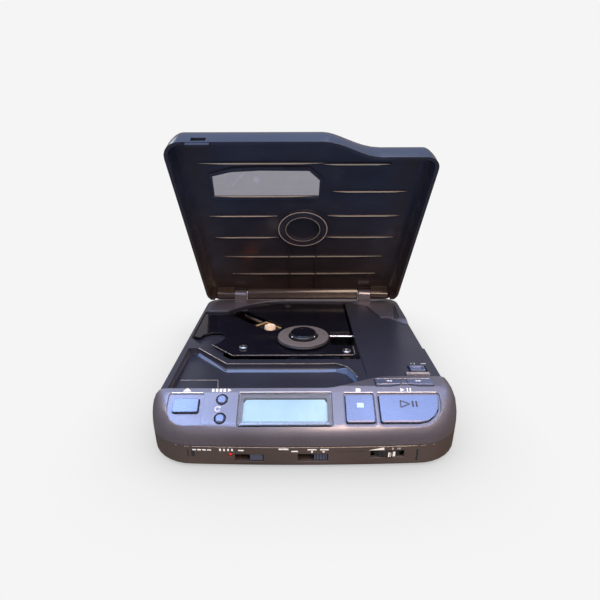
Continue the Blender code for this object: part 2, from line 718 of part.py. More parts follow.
def key_cap(values, corners, top, flange_top=0.0):
    """A key cap, drawn flat, that is held from behind by a flange under the panel's skin."""
    under = -PANEL_SKIN - GAP
    cap = drawn(down_rect(values, corners), under - FLANGE / 2, top)
    x0, x1, d0, d1 = values
    flange = (x0 - FLANGE_WIDE, x1 + FLANGE_WIDE, d0 + flange_top - FLANGE_WIDE, d1 + FLANGE_WIDE)
    return join(cap, drawn(down_rect(flange, corners), under - FLANGE, under))


FLANGE_WIDE = 0.6 * MM


def softened(piece, width):
    """Bevels the sharp edges of a cap, applied as it is made."""
    step = piece.modifiers.new("soft", "BEVEL")
    step.width = width
    step.segments = 2
    step.limit_method = "ANGLE"
    step.use_clamp_overlap = True
    graph = bpy.context.evaluated_depsgraph_get()
    shaped = bpy.data.meshes.new_from_object(piece.evaluated_get(graph))
    piece.modifiers.clear()
    piece.data = shaped
    return piece


def make_lcd_window():
    return on_panel(drawn(down_rect(LCD_LENS, LENS_CORNER, -GAP), -LENS_DEEP + GAP, LENS_PROUD))


LENS_PROUD = 0.15 * MM
MODULE_IN = 1.3 * MM
MODULE_BLOCK = (LCD_LENS[0] + MODULE_IN, LCD_LENS[1] - MODULE_IN, 6.2 * MM, 16.6 * MM)
MODULE_DEEP = 4.3 * MM
MODULE_GLASS_IN = 0.6 * MM
BOARD_PAST_DOT = 4.5 * MM
BOARD_INSET = 19.5 * MM
BOARD_SPAN = (DOT_X - BOARD_PAST_DOT, HALF_WIDTH - BOARD_INSET, 5.6 * MM, 17.4 * MM)
BOARD_DEEP = 4.7 * MM
BOARD_THICK = 1.0 * MM
DOME_RADIUS = 2.0 * MM
DOME_HIGH = 0.7 * MM


def make_lcd_module():
    under = -PANEL_SKIN - GAP
    module = drawn(down_rect(MODULE_BLOCK, LENS_CORNER), -MODULE_DEEP, under)
    glass = down_rect(LCD_LENS, LENS_CORNER, -LCD_BORDER - MODULE_GLASS_IN)
    return on_panel(join(module, drawn(glass, under - FILM, -LENS_DEEP - GAP)))


def make_key_board():
    """The board behind the panel, with a switch dome under each key."""
    board = drawn(down_rect(BOARD_SPAN, CAP_CORNER), -BOARD_DEEP - BOARD_THICK, -BOARD_DEEP)
    places = [(DOT_X, MODE_DOWN + DOME_RADIUS), (DOT_X, REPEAT_DOWN)]
    for x0, x1, d0, d1 in (STOP_CAP, PLAY_CAP):
        places.append(((x0 + x1) / 2, (d0 + d1) / 2))
    for x, down in places:
        ring = arc(x, down, DOME_RADIUS, 0, FULL_TURN, SMALL_SIDES)[:-1]
        join(board, drawn(ring, -BOARD_DEEP - BITE, -BOARD_DEEP + DOME_HIGH))
    return on_panel(board)


OPEN_POCKET_WALL = 0.9 * MM
OPEN_FLANGE_BACK = 2.9 * MM
OPEN_CAP_TOP = 0.7 * MM
OPEN_SKIN = 1.2 * MM


def make_open_button():
    """A hollow cap; the latch lies in its hollow."""
    cap = key_cap(OPEN_CAP, CAP_CORNER, OPEN_CAP_TOP, OPEN_FLANGE_BACK)
    x0, x1 = LATCH_X
    d1 = OPEN_CAP[3] - OPEN_POCKET_WALL
    pocket = (x0 - OPEN_POCKET_WALL, x1 + OPEN_POCKET_WALL, -OVERRUN, d1)
    cut(cap, drawn(down_rect(pocket, CAP_CORNER), -PANEL_SKIN - OVERRUN, OPEN_CAP_TOP - OPEN_SKIN))
    return on_panel(cap)


def make_stop_button():
    return on_panel(key_cap(STOP_CAP, CAP_CORNER, CAP_PROUD - DISH_DEEP))


def make_play_button():
    return on_panel(key_cap(PLAY_CAP, play_corners(), CAP_PROUD - DISH_DEEP))


def make_dot_button(down):
    """A small round key with a flange below the skin, kept clear of the panel's rear wall."""
    under = -PANEL_SKIN - GAP
    low = under - FLANGE / 2
    key = turned([(0, low), (DOT_RADIUS, low), (DOT_RADIUS, DOT_PROUD - DOT_DOME),
                  (DOT_RADIUS - DOT_DOME, DOT_PROUD), (0, DOT_PROUD)], ROUND_SIDES)
    moved(key, DOT_X, -down)
    wide = DOT_SOCKET + FLANGE_WIDE
    flange = (DOT_X - wide, DOT_X + wide, down - DOT_FLANGE_UP, down + wide)
    return on_panel(join(key, drawn(down_rect(flange, CAP_CORNER), under - FLANGE, under)))


DOT_PROUD = 0.6 * MM
DOT_DOME = 0.5 * MM
DOT_FLANGE_UP = 1.2 * MM
ROCKER_FLANGE = 0.7 * MM
ROCKER_FLANGE_LOW = 1.1 * MM


def make_search_rocker():
    rocker = prism(rocker_outline(), PANEL_TOP - PANEL_SKIN - ROCKER_FLANGE_LOW, ROCKER_TOP)
    x0, x1, y0, y1 = ROCKER
    low = PANEL_TOP - PANEL_SKIN - ROCKER_FLANGE_LOW - ROCKER_FLANGE
    mid = (x0 + x1) / 2
    flange = block(x0 - FLANGE_WIDE, x1 + FLANGE_WIDE, y0 + GAP / 2, y1 - FILM, low, low + FLANGE)
    join(rocker, flange)
    grip = block(mid - ROCKER_GRIP, mid + ROCKER_GRIP, y0 - OVERRUN, y1 + OVERRUN, ROCKER_TOP - FILM / 2,
                 ROCKER_TOP + OVERRUN)
    return cut(rocker, grip)


ROCKER_GRIP = 1.2 * MM
LATCH_REACH = 1.3 * MM
LATCH_TIP = LATCH_REACH - PANEL_REAR
LATCH_WEB_IN = 1.6 * MM
LATCH_WEB_THICK = 1.2 * MM
LATCH_LOW = 12.0 * MM
LATCH_FOOT_IN = 9.8 * MM
LATCH_FOOT_THICK = 1.5 * MM


def make_latch_hook():
    x0, x1 = LATCH_X
    z0, z1 = LATCH_Z
    web1 = -PANEL_REAR - LATCH_WEB_IN
    web0 = web1 - LATCH_WEB_THICK
    ramp = (z1 - z0) / 2
    side = [(web0, LATCH_LOW), (web0, z1), (LATCH_TIP - ramp, z1), (LATCH_TIP, z1 - ramp), (LATCH_TIP, z0),
            (web1, z0), (web1, LATCH_LOW)]
    hook = profile_along_x(side[::-1], x0, x1)
    foot = block(x0 + BITE, x1 - BITE, -PANEL_REAR - LATCH_FOOT_IN, web1 - BITE, LATCH_LOW - FILM,
                 LATCH_LOW + LATCH_FOOT_THICK)
    return join(hook, foot)


def make_deck_switch():
    x0, x1, y0, y1 = SWITCH_WINDOW
    knob = block(x0 + SWITCH_PLAY, x1 - SWITCH_PLAY, y0 + SWITCH_SIDE, y1 - SWITCH_SIDE,
                 RIM - SKIN - GAP - FLANGE / 2, RIM + SWITCH_LIP_PROUD)
    flange = block(x0 - FLANGE_WIDE, x1 + FLANGE_WIDE / 2, y0 - FLANGE_WIDE, y1 + FLANGE_WIDE,
                   RIM - SKIN - GAP - FLANGE, RIM - SKIN - GAP)
    join(knob, flange)
    ridge = block(x0 + SWITCH_PLAY + FLANGE, x1 - SWITCH_PLAY - FLANGE, y0 + SWITCH_SIDE + FLANGE,
                  y1 - SWITCH_SIDE - FLANGE, RIM, RIM + OVERRUN)
    return cut(knob, ridge)


SWITCH_PLAY = 1.0 * MM
SWITCH_SIDE = 0.9 * MM


# The lower case and what slides and turns in its front

BATTERY_INSETS = (33.5 * MM, 4.6 * MM, -8.0 * MM)
BATTERY_FROM_REAR = 16.5 * MM
BATTERY = (*near_right(BATTERY_INSETS), REAR_REACH - BATTERY_FROM_REAR)
BATTERY_TOP = 11.2 * MM
DOOR_EDGE = 1.0 * MM
DOOR_LEFT = BATTERY[0] - GAP
HOOD_WALL = 1.2 * MM
HOOD_LIFT = 3.1 * MM
TONGUE_INSETS = (29.5 * MM, 21.5 * MM)
TONGUE_X = near_right(TONGUE_INSETS)
TONGUE_OVER = 2.0 * MM
TONGUE_THICK = 0.8 * MM
JACK_HEIGHT = 5.9 * MM
JACK_NOSE = 2.7 * MM
JACK_BORE = 1.75 * MM
JACK_INSETS = (3.1 * MM, 14.5 * MM)
JACK_BODY = near_left(JACK_INSETS)
JACK_FACE_IN = 0.8 * MM
JACK_FACE = JACK_FACE_IN - HALF_WIDTH
JACK_HALF = 3.7 * MM
JACK_TOP = 9.0 * MM
BOARD_LOW = 2.2 * MM
BOARD_TOP = 3.4 * MM
HOLD_INSETS = (37.4 * MM, 48.9 * MM, 2.4 * MM, 5.9 * MM)
HOLD_SLOT = near_left(HOLD_INSETS)
BASS_SLOT = (-2.9 * MM, 9.2 * MM, 2.4 * MM, 6.2 * MM)
KNOB_LONG = 5.2 * MM
KNOB_PROUD = 0.3 * MM
KNOB_FACE = FRONT_REACH + KNOB_PROUD
SLIDE_INSET = 3.1 * MM
SLIDE_BACK = FRONT_REACH - SLIDE_INSET
SLIDE_PLATE = 1.0 * MM
SLIDE_OVER = 0.9 * MM
KNOB_RIDGES = 4
WHEEL_INSETS = [(32.5 * MM, -7.1 * MM)]
WHEEL_CENTRE = from_edges(WHEEL_INSETS)[0]
WHEEL_RADIUS = 8.0 * MM
WHEEL_LOW = 4.3 * MM
WHEEL_HIGH = 7.0 * MM
WHEEL_BORE = 2.3 * MM
WHEEL_TEETH = 28
WHEEL_TOOTH = 0.35 * MM
WHEEL_HALF = 6.8 * MM
WHEEL_WINDOW = (WHEEL_CENTRE[0] - WHEEL_HALF, WHEEL_CENTRE[0] + WHEEL_HALF)
LAMP_INSET = 35.6 * MM
LAMP = (LAMP_INSET - HALF_WIDTH, 5.4 * MM, 0.9 * MM)
LAMP_IN = 0.6 * MM
LAMP_FACE = FRONT_REACH - LAMP_IN
LATCH_POST_INSETS = [(-17.8 * MM, -10.3 * MM)]
LATCH_POST = from_edges(LATCH_POST_INSETS)[0]
LATCH_POST_RADIUS = 2.4 * MM


def tray_form():
    """The outside of the lower case as one solid."""
    levels = []
    for i in range(SMALL_STEPS + 1):
        turn = math.pi / 2 * i / SMALL_STEPS
        levels.append((BASE_TUCK + BASE_ROUND * (1 - math.sin(turn)), BASE_ROUND * (1 - math.cos(turn))))
    levels.append((0, PARTING - GAP))
    return stack(case_rings(levels))


def tray_hollow():
    levels = [(BASE_TUCK + WALL + FILM, FLOOR), (BASE_TUCK + WALL, FLOOR + FILM),
              (WALL, PARTING - GAP + FILM)]
    return stack(case_rings(levels))


def door_hole(clearance):
    """The space of the battery door: the floor from its left edge, and the right wall with it."""
    _, _, y0, y1 = BATTERY
    return block(DOOR_LEFT + clearance, HALF_WIDTH + OVERRUN, y0 - DOOR_EDGE + clearance,
                 y1 + DOOR_EDGE - clearance, -OVERRUN, PARTING + OVERRUN)


def make_bottom_case():
    case = tray_form()
    cut(case, tray_hollow())
    inside = FLOOR - BITE
    for x, y in CASE_SCREWS:
        join(case, moved(drum(CASE_BOSS, inside, PARTING - GAP), x, y))
        cut(case, moved(drum(SCREW_SHANK + GAP, -OVERRUN, PARTING + OVERRUN), x, y))
        cut(case, moved(drum(SCREW_HEAD + GAP, -OVERRUN, SCREW_SUNK + SCREW_HEAD_DEEP), x, y))
    for x, y in PLATE_POSTS:
        join(case, moved(drum(POST_RADIUS, inside, POST_TOP), x, y))
        cut(case, moved(drum(SCREW_SHANK + GAP / 2, POST_TOP - POST_RADIUS * 2, POST_TOP + OVERRUN), x, y))
    for x, y in FEET:
        cut(case, moved(drum(FOOT_RADIUS + GAP, -OVERRUN, FOOT_SUNK, ROUND_SIDES), x, y))
    join(case, moved(drum(LATCH_POST_RADIUS, inside, LATCH_LOW - FILM - GAP), *LATCH_POST))
    join(case, moved(drum(WHEEL_BORE - GAP, inside, WHEEL_HIGH + FILM), *WHEEL_CENTRE))
    cut(case, door_hole(0))
    join(case, battery_hood())
    front = -FRONT_REACH - FRONT_BOW - OVERRUN
    for x0, x1, z0, z1 in (HOLD_SLOT, BASS_SLOT):
        cut(case, block(x0, x1, front, -SLIDE_BACK + FILM, z0, z1))
    x0, x1 = WHEEL_WINDOW
    cut(case, block(x0, x1, front, -SLIDE_BACK + FILM, WHEEL_LOW - GAP, WHEEL_HIGH + GAP))
    for y in JACK_ROWS:
        hole = along_x(drum(JACK_NOSE + GAP, -HALF_WIDTH - OVERRUN, JACK_BODY[0] + BITE))
        cut(case, moved(hole, 0, y, JACK_HEIGHT))
    x, z, radius = LAMP
    cut(case, lamp_rod(radius, -FRONT_REACH - FRONT_BOW - OVERRUN, -SLIDE_BACK))
    return case


def lamp_rod(radius, y0, y1):
    x, z, _ = LAMP
    rod = turned_to(drum(radius, -y1, -y0), Matrix.Rotation(math.pi / 2, 4, "X"))
    return moved(rod, x, 0, z)


def make_hold_lamp():
    """The small red window beside the hold switch."""
    x, z, radius = LAMP
    lamp = lamp_rod(radius - GAP / 2, -LAMP_FACE, -SLIDE_BACK + GAP + BITE)
    return join(lamp, lamp_rod(radius + FILM, -SLIDE_BACK + GAP, -SLIDE_BACK + GAP + FLANGE))


def make_front_slider(slot, ridges):
    """A knob outside the wall on a neck through its slot, with a plate behind the wall."""
    x0, x1, z0, z1 = slot
    right = x1 - GAP
    knob = block(right - KNOB_LONG, right, -KNOB_FACE, -SLIDE_BACK + FILM, z0 + GAP, z1 - GAP)
    if ridges:
        step = KNOB_LONG / (2 * KNOB_RIDGES + 1)
        for i in range(KNOB_RIDGES):
            left = right - step * (2 * i + 2)
            groove = block(left, left + step, -KNOB_FACE - OVERRUN, -KNOB_FACE + FILM, z0 - BITE, z1 + BITE)
            cut(knob, groove)
    plate = block(right - KNOB_LONG - SLIDE_OVER, right + SLIDE_OVER, -SLIDE_BACK + GAP,
                  -SLIDE_BACK + GAP + SLIDE_PLATE, FLOOR + GAP, z1 + SLIDE_OVER)
    return join(knob, plate)


def make_volume_wheel():
    outline = []
    for i in range(WHEEL_TEETH * 2):
        turn = math.pi * i / WHEEL_TEETH
        radius = WHEEL_RADIUS - (WHEEL_TOOTH if i % 2 else 0)
        outline.append((radius * math.cos(turn), radius * math.sin(turn)))
    wheel = prism(outline, WHEEL_LOW, WHEEL_HIGH)
    cut(wheel, drum(WHEEL_BORE, WHEEL_LOW - OVERRUN, WHEEL_HIGH + OVERRUN))
    return moved(wheel, *WHEEL_CENTRE)


def make_battery_door():
    """The lid of the battery bay: floor and side wall in one, with a tongue over the case on each side."""
    door = tray_form()
    cut(door, tray_hollow())
    keep = door_hole(GAP)
    combine(door, keep, "INTERSECT")
    x0, x1 = TONGUE_X
    _, _, y0, y1 = BATTERY
    y0, y1 = y0 - DOOR_EDGE + GAP, y1 + DOOR_EDGE - GAP
    for inner, outer in ((y0 + TONGUE_THICK, y0 - TONGUE_OVER), (y1 - TONGUE_THICK, y1 + TONGUE_OVER)):
        join(door, block(x0, x1, *sorted((inner, outer)), FLOOR + GAP, FLOOR + GAP + TONGUE_THICK))
        edge = inner + (TONGUE_THICK / 4 if outer < inner else -TONGUE_THICK / 4)
        mate = inner - (TONGUE_THICK / 2 if outer < inner else -TONGUE_THICK / 2)
        join(door, block(x0 + BITE, x1 - BITE, *sorted((edge, mate)), FLOOR - BITE, FLOOR + GAP + BITE))
    return door


def battery_hood():
    """The bay over the battery: open below and to the right, where the door closes it."""
    x0, x1, y0, y1 = BATTERY
    outer = block(x0 - GAP - HOOD_WALL, x1 + GAP, y0 - GAP - HOOD_WALL, y1 + GAP + HOOD_WALL, HOOD_LIFT,
                  BATTERY_TOP + GAP + HOOD_WALL)
    join(outer, block(x0 - GAP - HOOD_WALL + HOOD_FOOT_IN, x0 - GAP - HOOD_FOOT_IN, y0 + HOOD_LIFT,
                      y1 - HOOD_LIFT, FLOOR - BITE, HOOD_LIFT + BITE))
    return cut(outer, block(x0 - GAP, x1 + OVERRUN, y0 - GAP, y1 + GAP, -OVERRUN, BATTERY_TOP + GAP))


HOOD_FOOT_IN = 0.1 * MM
PACK_PLAY = 0.7 * MM


def make_battery_pack():
    x0, x1, y0, y1 = BATTERY
    pack = prism(rounded(x0, x1, y0 + PACK_PLAY, y1 - PACK_PLAY, WALL), FLOOR + GAP, BATTERY_TOP)
    return softened(pack, FILM)


def make_jack(y, bore):
    x0, x1 = JACK_BODY
    body = block(x0, x1, y - JACK_HALF, y + JACK_HALF, BOARD_TOP + GAP, JACK_TOP)
    nose = moved(along_x(drum(JACK_NOSE, JACK_FACE, x0 + WALL, ROUND_SIDES)), 0, y, JACK_HEIGHT)
    join(body, nose)
    return cut(body, moved(along_x(drum(bore, JACK_FACE - OVERRUN, x1 - WALL)), 0, y, JACK_HEIGHT))


# The mechanism under the disc

CUTOUT_CORNER = 1.5 * MM
HUB_HOLE = 8.5 * MM
SLOT_INNER = 26.1 * MM
CUTOUT = (15.3 * MM, -7.0 * MM, 11.0 * MM)
PIN_HEIGHT = 15.0 * MM
GUIDE_PIN_RADIUS = 1.0 * MM
ROD_APART = 8.5 * MM
ROD_RADIUS = 1.2 * MM
ROD_HEIGHT = 12.2 * MM
ROD_PAST_SLOT = 7.2 * MM
ROD_ENDS = (13.0 * MM, SLOT_FAR + ROD_PAST_SLOT)
HANGER_LONG = 1.9 * MM
HANGER_HALF = 2.0 * MM
HANGER_LOW = 10.6 * MM
SLED_LOW = 9.2 * MM
SLED_TOP = 15.6 * MM
SLED_BACK = 8.0 * MM
SLED_FRONT = 3.9 * MM
SLED_HALF = 11.5 * MM
SLED_TAIL = 13.0 * MM
SLED_TAIL_HALF = 5.2 * MM
LENS_HOLDER = 3.5 * MM
LENS_TOP = 17.9 * MM
LENS_GLASS = 2.3 * MM
YOKE_HALF = (9.0 * MM, 5.0 * MM)
YOKE_BAR = 1.0 * MM
YOKE_HIGH = 0.5 * MM
MODULE = 0.7 * MM
GEAR_TEETH = 14
RACK_BACK = 27.0 * MM
RACK_AHEAD = 10.0 * MM
RACK_LOW = 10.0 * MM
RACK_TOP = 12.6 * MM
RACK_BAR = 1.8 * MM
GEAR_REACH = 32.0 * MM
BACKLASH = 0.12 * MM
MOTOR_RADIUS = 6.0 * MM
MOTOR_LOW = 3.7 * MM
MOTOR_TOP = 9.5 * MM
SHAFT_RADIUS = 0.75 * MM
SPINDLE_RADIUS = 11.0 * MM
SPINDLE_LOW = 6.8 * MM
SPINDLE_BOSS = 6.5 * MM
SPINDLE_SHAFT = 1.0 * MM
SHAFT_TOP = 20.0 * MM
PLATTER_GAP = 0.5 * MM
MAT_INNER = 8.3 * MM
MAT_OUTER = 14.3 * MM
MAT_TOP = 20.3 * MM
RING_INNER = 5.9 * MM
RING_TOP = 22.0 * MM
CAP_RADIUS = 7.0 * MM
CAP_TOP = 22.9 * MM
BALL_RADIUS = 0.65 * MM
BALL_REACH = 7.0 * MM
BALL_HEIGHT = 20.95 * MM
BALLS = 3
RIBBON = [(40.0 * MM, 3.7 * MM), (46.0 * MM, 3.7 * MM), (50.0 * MM, 5.8 * MM), (53.0 * MM, 7.9 * MM),
          (61.0 * MM, 7.9 * MM)]
RIBBON_HALF = 4.5 * MM
RIBBON_THICK = 0.4 * MM

# Tooth widths at the root, the pitch line and the tip, and their heights, as shares of the module
TOOTH_SHARES = ((-1.2, 1.0), (0.0, 0.6), (0.9, 0.28))


def slot_matrix():
    """Turns a piece drawn along X onto the line that the pickup travels on."""
    return Matrix.Rotation(SLOT_ANGLE, 4, "Z")


def stadium(x0, x1, radius):
    far = arc(x1, 0, radius, -QUARTER, QUARTER, SMALL_STEPS * 2)
    return far + arc(x0, 0, radius, QUARTER, THREE_QUARTERS, SMALL_STEPS * 2)


def make_mechanism_plate():
    low = PLATE_TOP - PLATE_THICK
    plate = prism(plate_outline(), low, PLATE_TOP)
    above = PLATE_TOP + OVERRUN
    cut(plate, drum(HUB_HOLE, low - OVERRUN, above, ROUND_SIDES))
    slot = prism(stadium(SLOT_INNER, SLOT_FAR, SLOT_HALF), low - OVERRUN, above)
    cut(plate, turned_to(slot, slot_matrix()))
    x0, y0, y1 = CUTOUT
    cut(plate, prism(rounded(x0, PLATE_RIGHT + OVERRUN, y0, y1, CUTOUT_CORNER), low - OVERRUN, above))
    for x, y in PLATE_POSTS:
        cut(plate, moved(drum(SCREW_SHANK + GAP, low - OVERRUN, above), x, y))
    near, far = ROD_ENDS
    for start in (near, far - HANGER_LONG):
        for side in (-1, 1):
            middle = side * ROD_APART
            hanger = block(start, start + HANGER_LONG, middle - HANGER_HALF, middle + HANGER_HALF,
                           HANGER_LOW, low + PLATE_THICK / 2)
            bore = along_x(drum(ROD_RADIUS + GAP / 2, near + HANGER_LONG / 2, far - HANGER_LONG / 2))
            cut(hanger, moved(bore, 0, middle, ROD_HEIGHT))
            join(plate, turned_to(hanger, slot_matrix()))
    for x in (x0 + PIN_BLOCK, PLATE_RIGHT - PIN_BLOCK):
        lug = block(x - PIN_BLOCK, x + PIN_BLOCK, y1 + PIN_BLOCK, y1 + PIN_BLOCK * 3, PIN_HEIGHT - PIN_BLOCK,
                    low + PLATE_THICK / 2)
        join(plate, lug)
    return plate


PIN_BLOCK = 0.8 * MM


def make_guide_rod(side):
    near, far = ROD_ENDS
    rod = along_x(drum(ROD_RADIUS, near + HANGER_LONG / 2 + GAP, far - HANGER_LONG / 2 - GAP))
    return turned_to(moved(rod, 0, side * ROD_APART, ROD_HEIGHT), slot_matrix())


def make_guide_pin():
    """The steel pin that shows in the cut-out of the plate."""
    x0, _, y1 = CUTOUT
    pin = along_x(drum(GUIDE_PIN_RADIUS, x0 - WALL, PLATE_RIGHT + WALL))
    return moved(pin, 0, y1 - PIN_IN, PLATE_TOP - PLATE_THICK - GAP - GUIDE_PIN_RADIUS)


PIN_IN = 1.4 * MM


def make_sled():
    """The carriage of the pickup, with the rack that the feed gear drives."""
    lens = LENS_REACH
    sled = block(lens - SLED_BACK, lens + SLED_FRONT, -SLED_HALF, SLED_HALF, SLED_LOW, SLED_TOP)
    tail = block(lens, lens + SLED_TAIL, -SLED_TAIL_HALF, SLED_TAIL_HALF, SLED_LOW + FILM, SLED_TOP - FILM)
    join(sled, tail)
    for side in (-1, 1):
        bore = along_x(drum(ROD_RADIUS + GAP, lens - SLED_BACK - OVERRUN, lens + SLED_FRONT + OVERRUN))
        cut(sled, moved(bore, 0, side * ROD_APART, ROD_HEIGHT))
    join(sled, make_rack())
    return turned_to(sled, slot_matrix())


def rack_pitch_line():
    return SLED_HALF + RACK_BAR - MODULE * TOOTH_SHARES[0][0]


def make_rack():
    """A straight toothed bar on the sled's far side from the slot, its pitch set by the module."""
    pitch = math.pi * MODULE
    start, end = LENS_REACH - RACK_BACK, LENS_REACH + RACK_AHEAD
    pitch_line = rack_pitch_line()
    root = pitch_line + MODULE * TOOTH_SHARES[0][0]
    points = [(start, SLED_HALF - BITE), (end, SLED_HALF - BITE), (end, root)]
    first = math.ceil((start - GEAR_REACH) / pitch + 1)
    last = math.floor((end - GEAR_REACH) / pitch - 1)
    for k in range(last, first - 1, -1):
        middle = GEAR_REACH + k * pitch
        for sign in (1, -1):
            for rise, wide in TOOTH_SHARES[::sign]:
                points.append((middle + sign * wide * MODULE, pitch_line + rise * MODULE))
    points.append((start, root))
    return prism(points, RACK_LOW, RACK_TOP)


def gear_centre():
    """The feed gear's axis beside the slot: distance along it and distance across."""
    return GEAR_REACH, rack_pitch_line() + MODULE * GEAR_TEETH / 2 + BACKLASH


def make_sled_gear():
    pitch_radius = MODULE * GEAR_TEETH / 2
    points = []
    for k in range(GEAR_TEETH):
        middle = 2 * math.pi * (k + 1 / 2) / GEAR_TEETH - math.pi / 2
        for sign in (-1, 1):
            for rise, wide in TOOTH_SHARES[::-sign]:
                radius = pitch_radius + rise * MODULE
                turn = middle + sign * wide * MODULE / radius
                points.append((radius * math.cos(turn), radius * math.sin(turn)))
    gear = prism(points, RACK_LOW + GAP, RACK_TOP - GAP)
    cut(gear, drum(SHAFT_RADIUS + GAP / 2, RACK_LOW - OVERRUN, RACK_TOP + OVERRUN))
    return turned_to(moved(gear, *gear_centre()), slot_matrix())


def make_sled_motor():
    motor = turned([(0, MOTOR_LOW), (MOTOR_RADIUS - FILM, MOTOR_LOW), (MOTOR_RADIUS, MOTOR_LOW + FILM),
                    (MOTOR_RADIUS, MOTOR_TOP - FILM), (MOTOR_RADIUS - FILM, MOTOR_TOP),
                    (SHAFT_RADIUS, MOTOR_TOP), (SHAFT_RADIUS, RACK_TOP), (0, RACK_TOP)], ROUND_SIDES // 2)
    return turned_to(moved(motor, *gear_centre()), slot_matrix())


def make_pickup_lens():
    """A round holder with the domed lens standing in it."""
    holder = turned([(0, SLED_TOP + GAP), (LENS_HOLDER, SLED_TOP + GAP), (LENS_HOLDER, LENS_TOP - FILM),
                     (LENS_HOLDER - FILM / 2, LENS_TOP), (LENS_GLASS + FILM / 2, LENS_TOP),
                     (LENS_GLASS, LENS_TOP - FILM), (LENS_GLASS / 2, LENS_TOP - FILM / 2),
                     (LENS_GLASS / 6, LENS_TOP - FILM / 3), (0, LENS_TOP - FILM / 3)],
                    SMALL_SIDES + SMALL_STEPS)
    return turned_to(moved(holder, LENS_REACH), slot_matrix())


def make_actuator_yoke():
    along, across = YOKE_HALF
    low, high = SLED_TOP + GAP, SLED_TOP + GAP + YOKE_HIGH
    yoke = block(LENS_REACH - along, LENS_REACH + along, -across, across, low, high)
    cut(yoke, block(LENS_REACH - along + YOKE_BAR, LENS_REACH + along - YOKE_BAR, -across + YOKE_BAR,
                    across - YOKE_BAR, low - OVERRUN, high + OVERRUN))
    return turned_to(yoke, slot_matrix())


def make_spindle_motor():
    top = PLATE_TOP - PLATE_THICK - GAP
    boss_top = PLATE_TOP - FILM / 2
    return turned([(0, SPINDLE_LOW), (SPINDLE_RADIUS - WALL, SPINDLE_LOW),
                   (SPINDLE_RADIUS, SPINDLE_LOW + WALL), (SPINDLE_RADIUS, top - FILM),
                   (SPINDLE_RADIUS - FILM, top), (SPINDLE_BOSS, top), (SPINDLE_BOSS, boss_top),
                   (SPINDLE_SHAFT, boss_top), (SPINDLE_SHAFT, SHAFT_TOP), (0, SHAFT_TOP)])


def make_platter():
    low = PLATE_TOP + PLATTER_GAP
    bore = SPINDLE_SHAFT + GAP
    return turned([(0, SHAFT_TOP + GAP), (bore, SHAFT_TOP + GAP), (bore, low), (PLATTER_RADIUS - FILM, low),
                   (PLATTER_RADIUS, low + FILM), (PLATTER_RADIUS, PLATTER_TOP - GAP),
                   (PLATTER_RADIUS - GAP, PLATTER_TOP), (CORE_RADIUS, PLATTER_TOP),
                   (CORE_RADIUS, CORE_TOP - GAP), (CORE_RADIUS - GAP, CORE_TOP), (0, CORE_TOP)])


def make_mat():
    """The rubber ring that the disc rests on, with a shallow groove round it."""
    low = PLATTER_TOP + GAP
    middle = (MAT_INNER + MAT_OUTER) / 2
    edge = FILM / 4
    return turned([(MAT_INNER, low), (MAT_OUTER, low), (MAT_OUTER, MAT_TOP - edge),
                   (MAT_OUTER - edge, MAT_TOP), (middle + FILM, MAT_TOP), (middle + FILM, MAT_TOP - edge),
                   (middle - FILM, MAT_TOP - edge), (middle - FILM, MAT_TOP), (MAT_INNER + edge, MAT_TOP),
                   (MAT_INNER, MAT_TOP - edge)])


def ball_angle(k):
    return 2 * math.pi * (k / BALLS) + math.pi / 2


def make_hub_ring():
    ring = turned([(RING_INNER, PLATTER_TOP + GAP), (HUB_RADIUS, PLATTER_TOP + GAP),
                   (HUB_RADIUS, RING_TOP - FILM), (HUB_RADIUS - FILM, RING_TOP), (RING_INNER, RING_TOP)])
    for k in range(BALLS):
        pocket = along_x(drum(BALL_RADIUS + GAP / 2, CORE_RADIUS - BITE, HUB_RADIUS + OVERRUN))
        moved(pocket, 0, 0, BALL_HEIGHT)
        cut(ring, turned_to(pocket, Matrix.Rotation(ball_angle(k), 4, "Z")))
    return ring


def make_ball(k):
    profile = [(0, -BALL_RADIUS)]
    for i in range(1, SMALL_STEPS * 2):
        turn = math.pi * i / (SMALL_STEPS * 2) - math.pi / 2
        profile.append((BALL_RADIUS * math.cos(turn), BALL_RADIUS * math.sin(turn)))
    ball = turned(profile + [(0, BALL_RADIUS)], SMALL_SIDES)
    turn = ball_angle(k)
    return moved(ball, BALL_REACH * math.cos(turn), BALL_REACH * math.sin(turn), BALL_HEIGHT)


def make_hub_cap():
    low = RING_TOP + GAP
    return turned([(0, low), (CAP_RADIUS - GAP, low), (CAP_RADIUS, low + GAP / 2),
                   (CAP_RADIUS - GAP, CAP_TOP - GAP / 2), (CAP_RADIUS - FILM, CAP_TOP), (0, CAP_TOP)])


def make_flex():
    """The ribbon that shows under the far end of the slot, folded up from the main board."""
    upper = [(x, z + RIBBON_THICK) for x, z in RIBBON]
    loop = RIBBON + upper[::-1]
    ribbon = stack([[(x, -RIBBON_HALF, z) for x, z in loop], [(x, RIBBON_HALF, z) for x, z in loop]])
    return turned_to(ribbon, slot_matrix())


DAMPER_WAIST = 0.7 * MM


def make_damper(x, y):
    low, high = POST_TOP + GAP, PLATE_TOP - PLATE_THICK - GAP
    bore = SCREW_SHANK + GAP
    third = (high - low) / 3
    waist = DAMPER_RADIUS - DAMPER_WAIST
    damper = turned([(bore, low), (DAMPER_RADIUS, low), (DAMPER_RADIUS, low + third), (waist, low + third),
                     (waist, high - third), (DAMPER_RADIUS, high - third), (DAMPER_RADIUS, high),
                     (bore, high)], SMALL_SIDES)
    return moved(damper, x, y)


PLATE_HEAD = 0.9 * MM
CROSS_LONG = 1.3 * MM
CROSS_WIDE = 0.5 * MM
CROSS_DEEP = 0.5 * MM


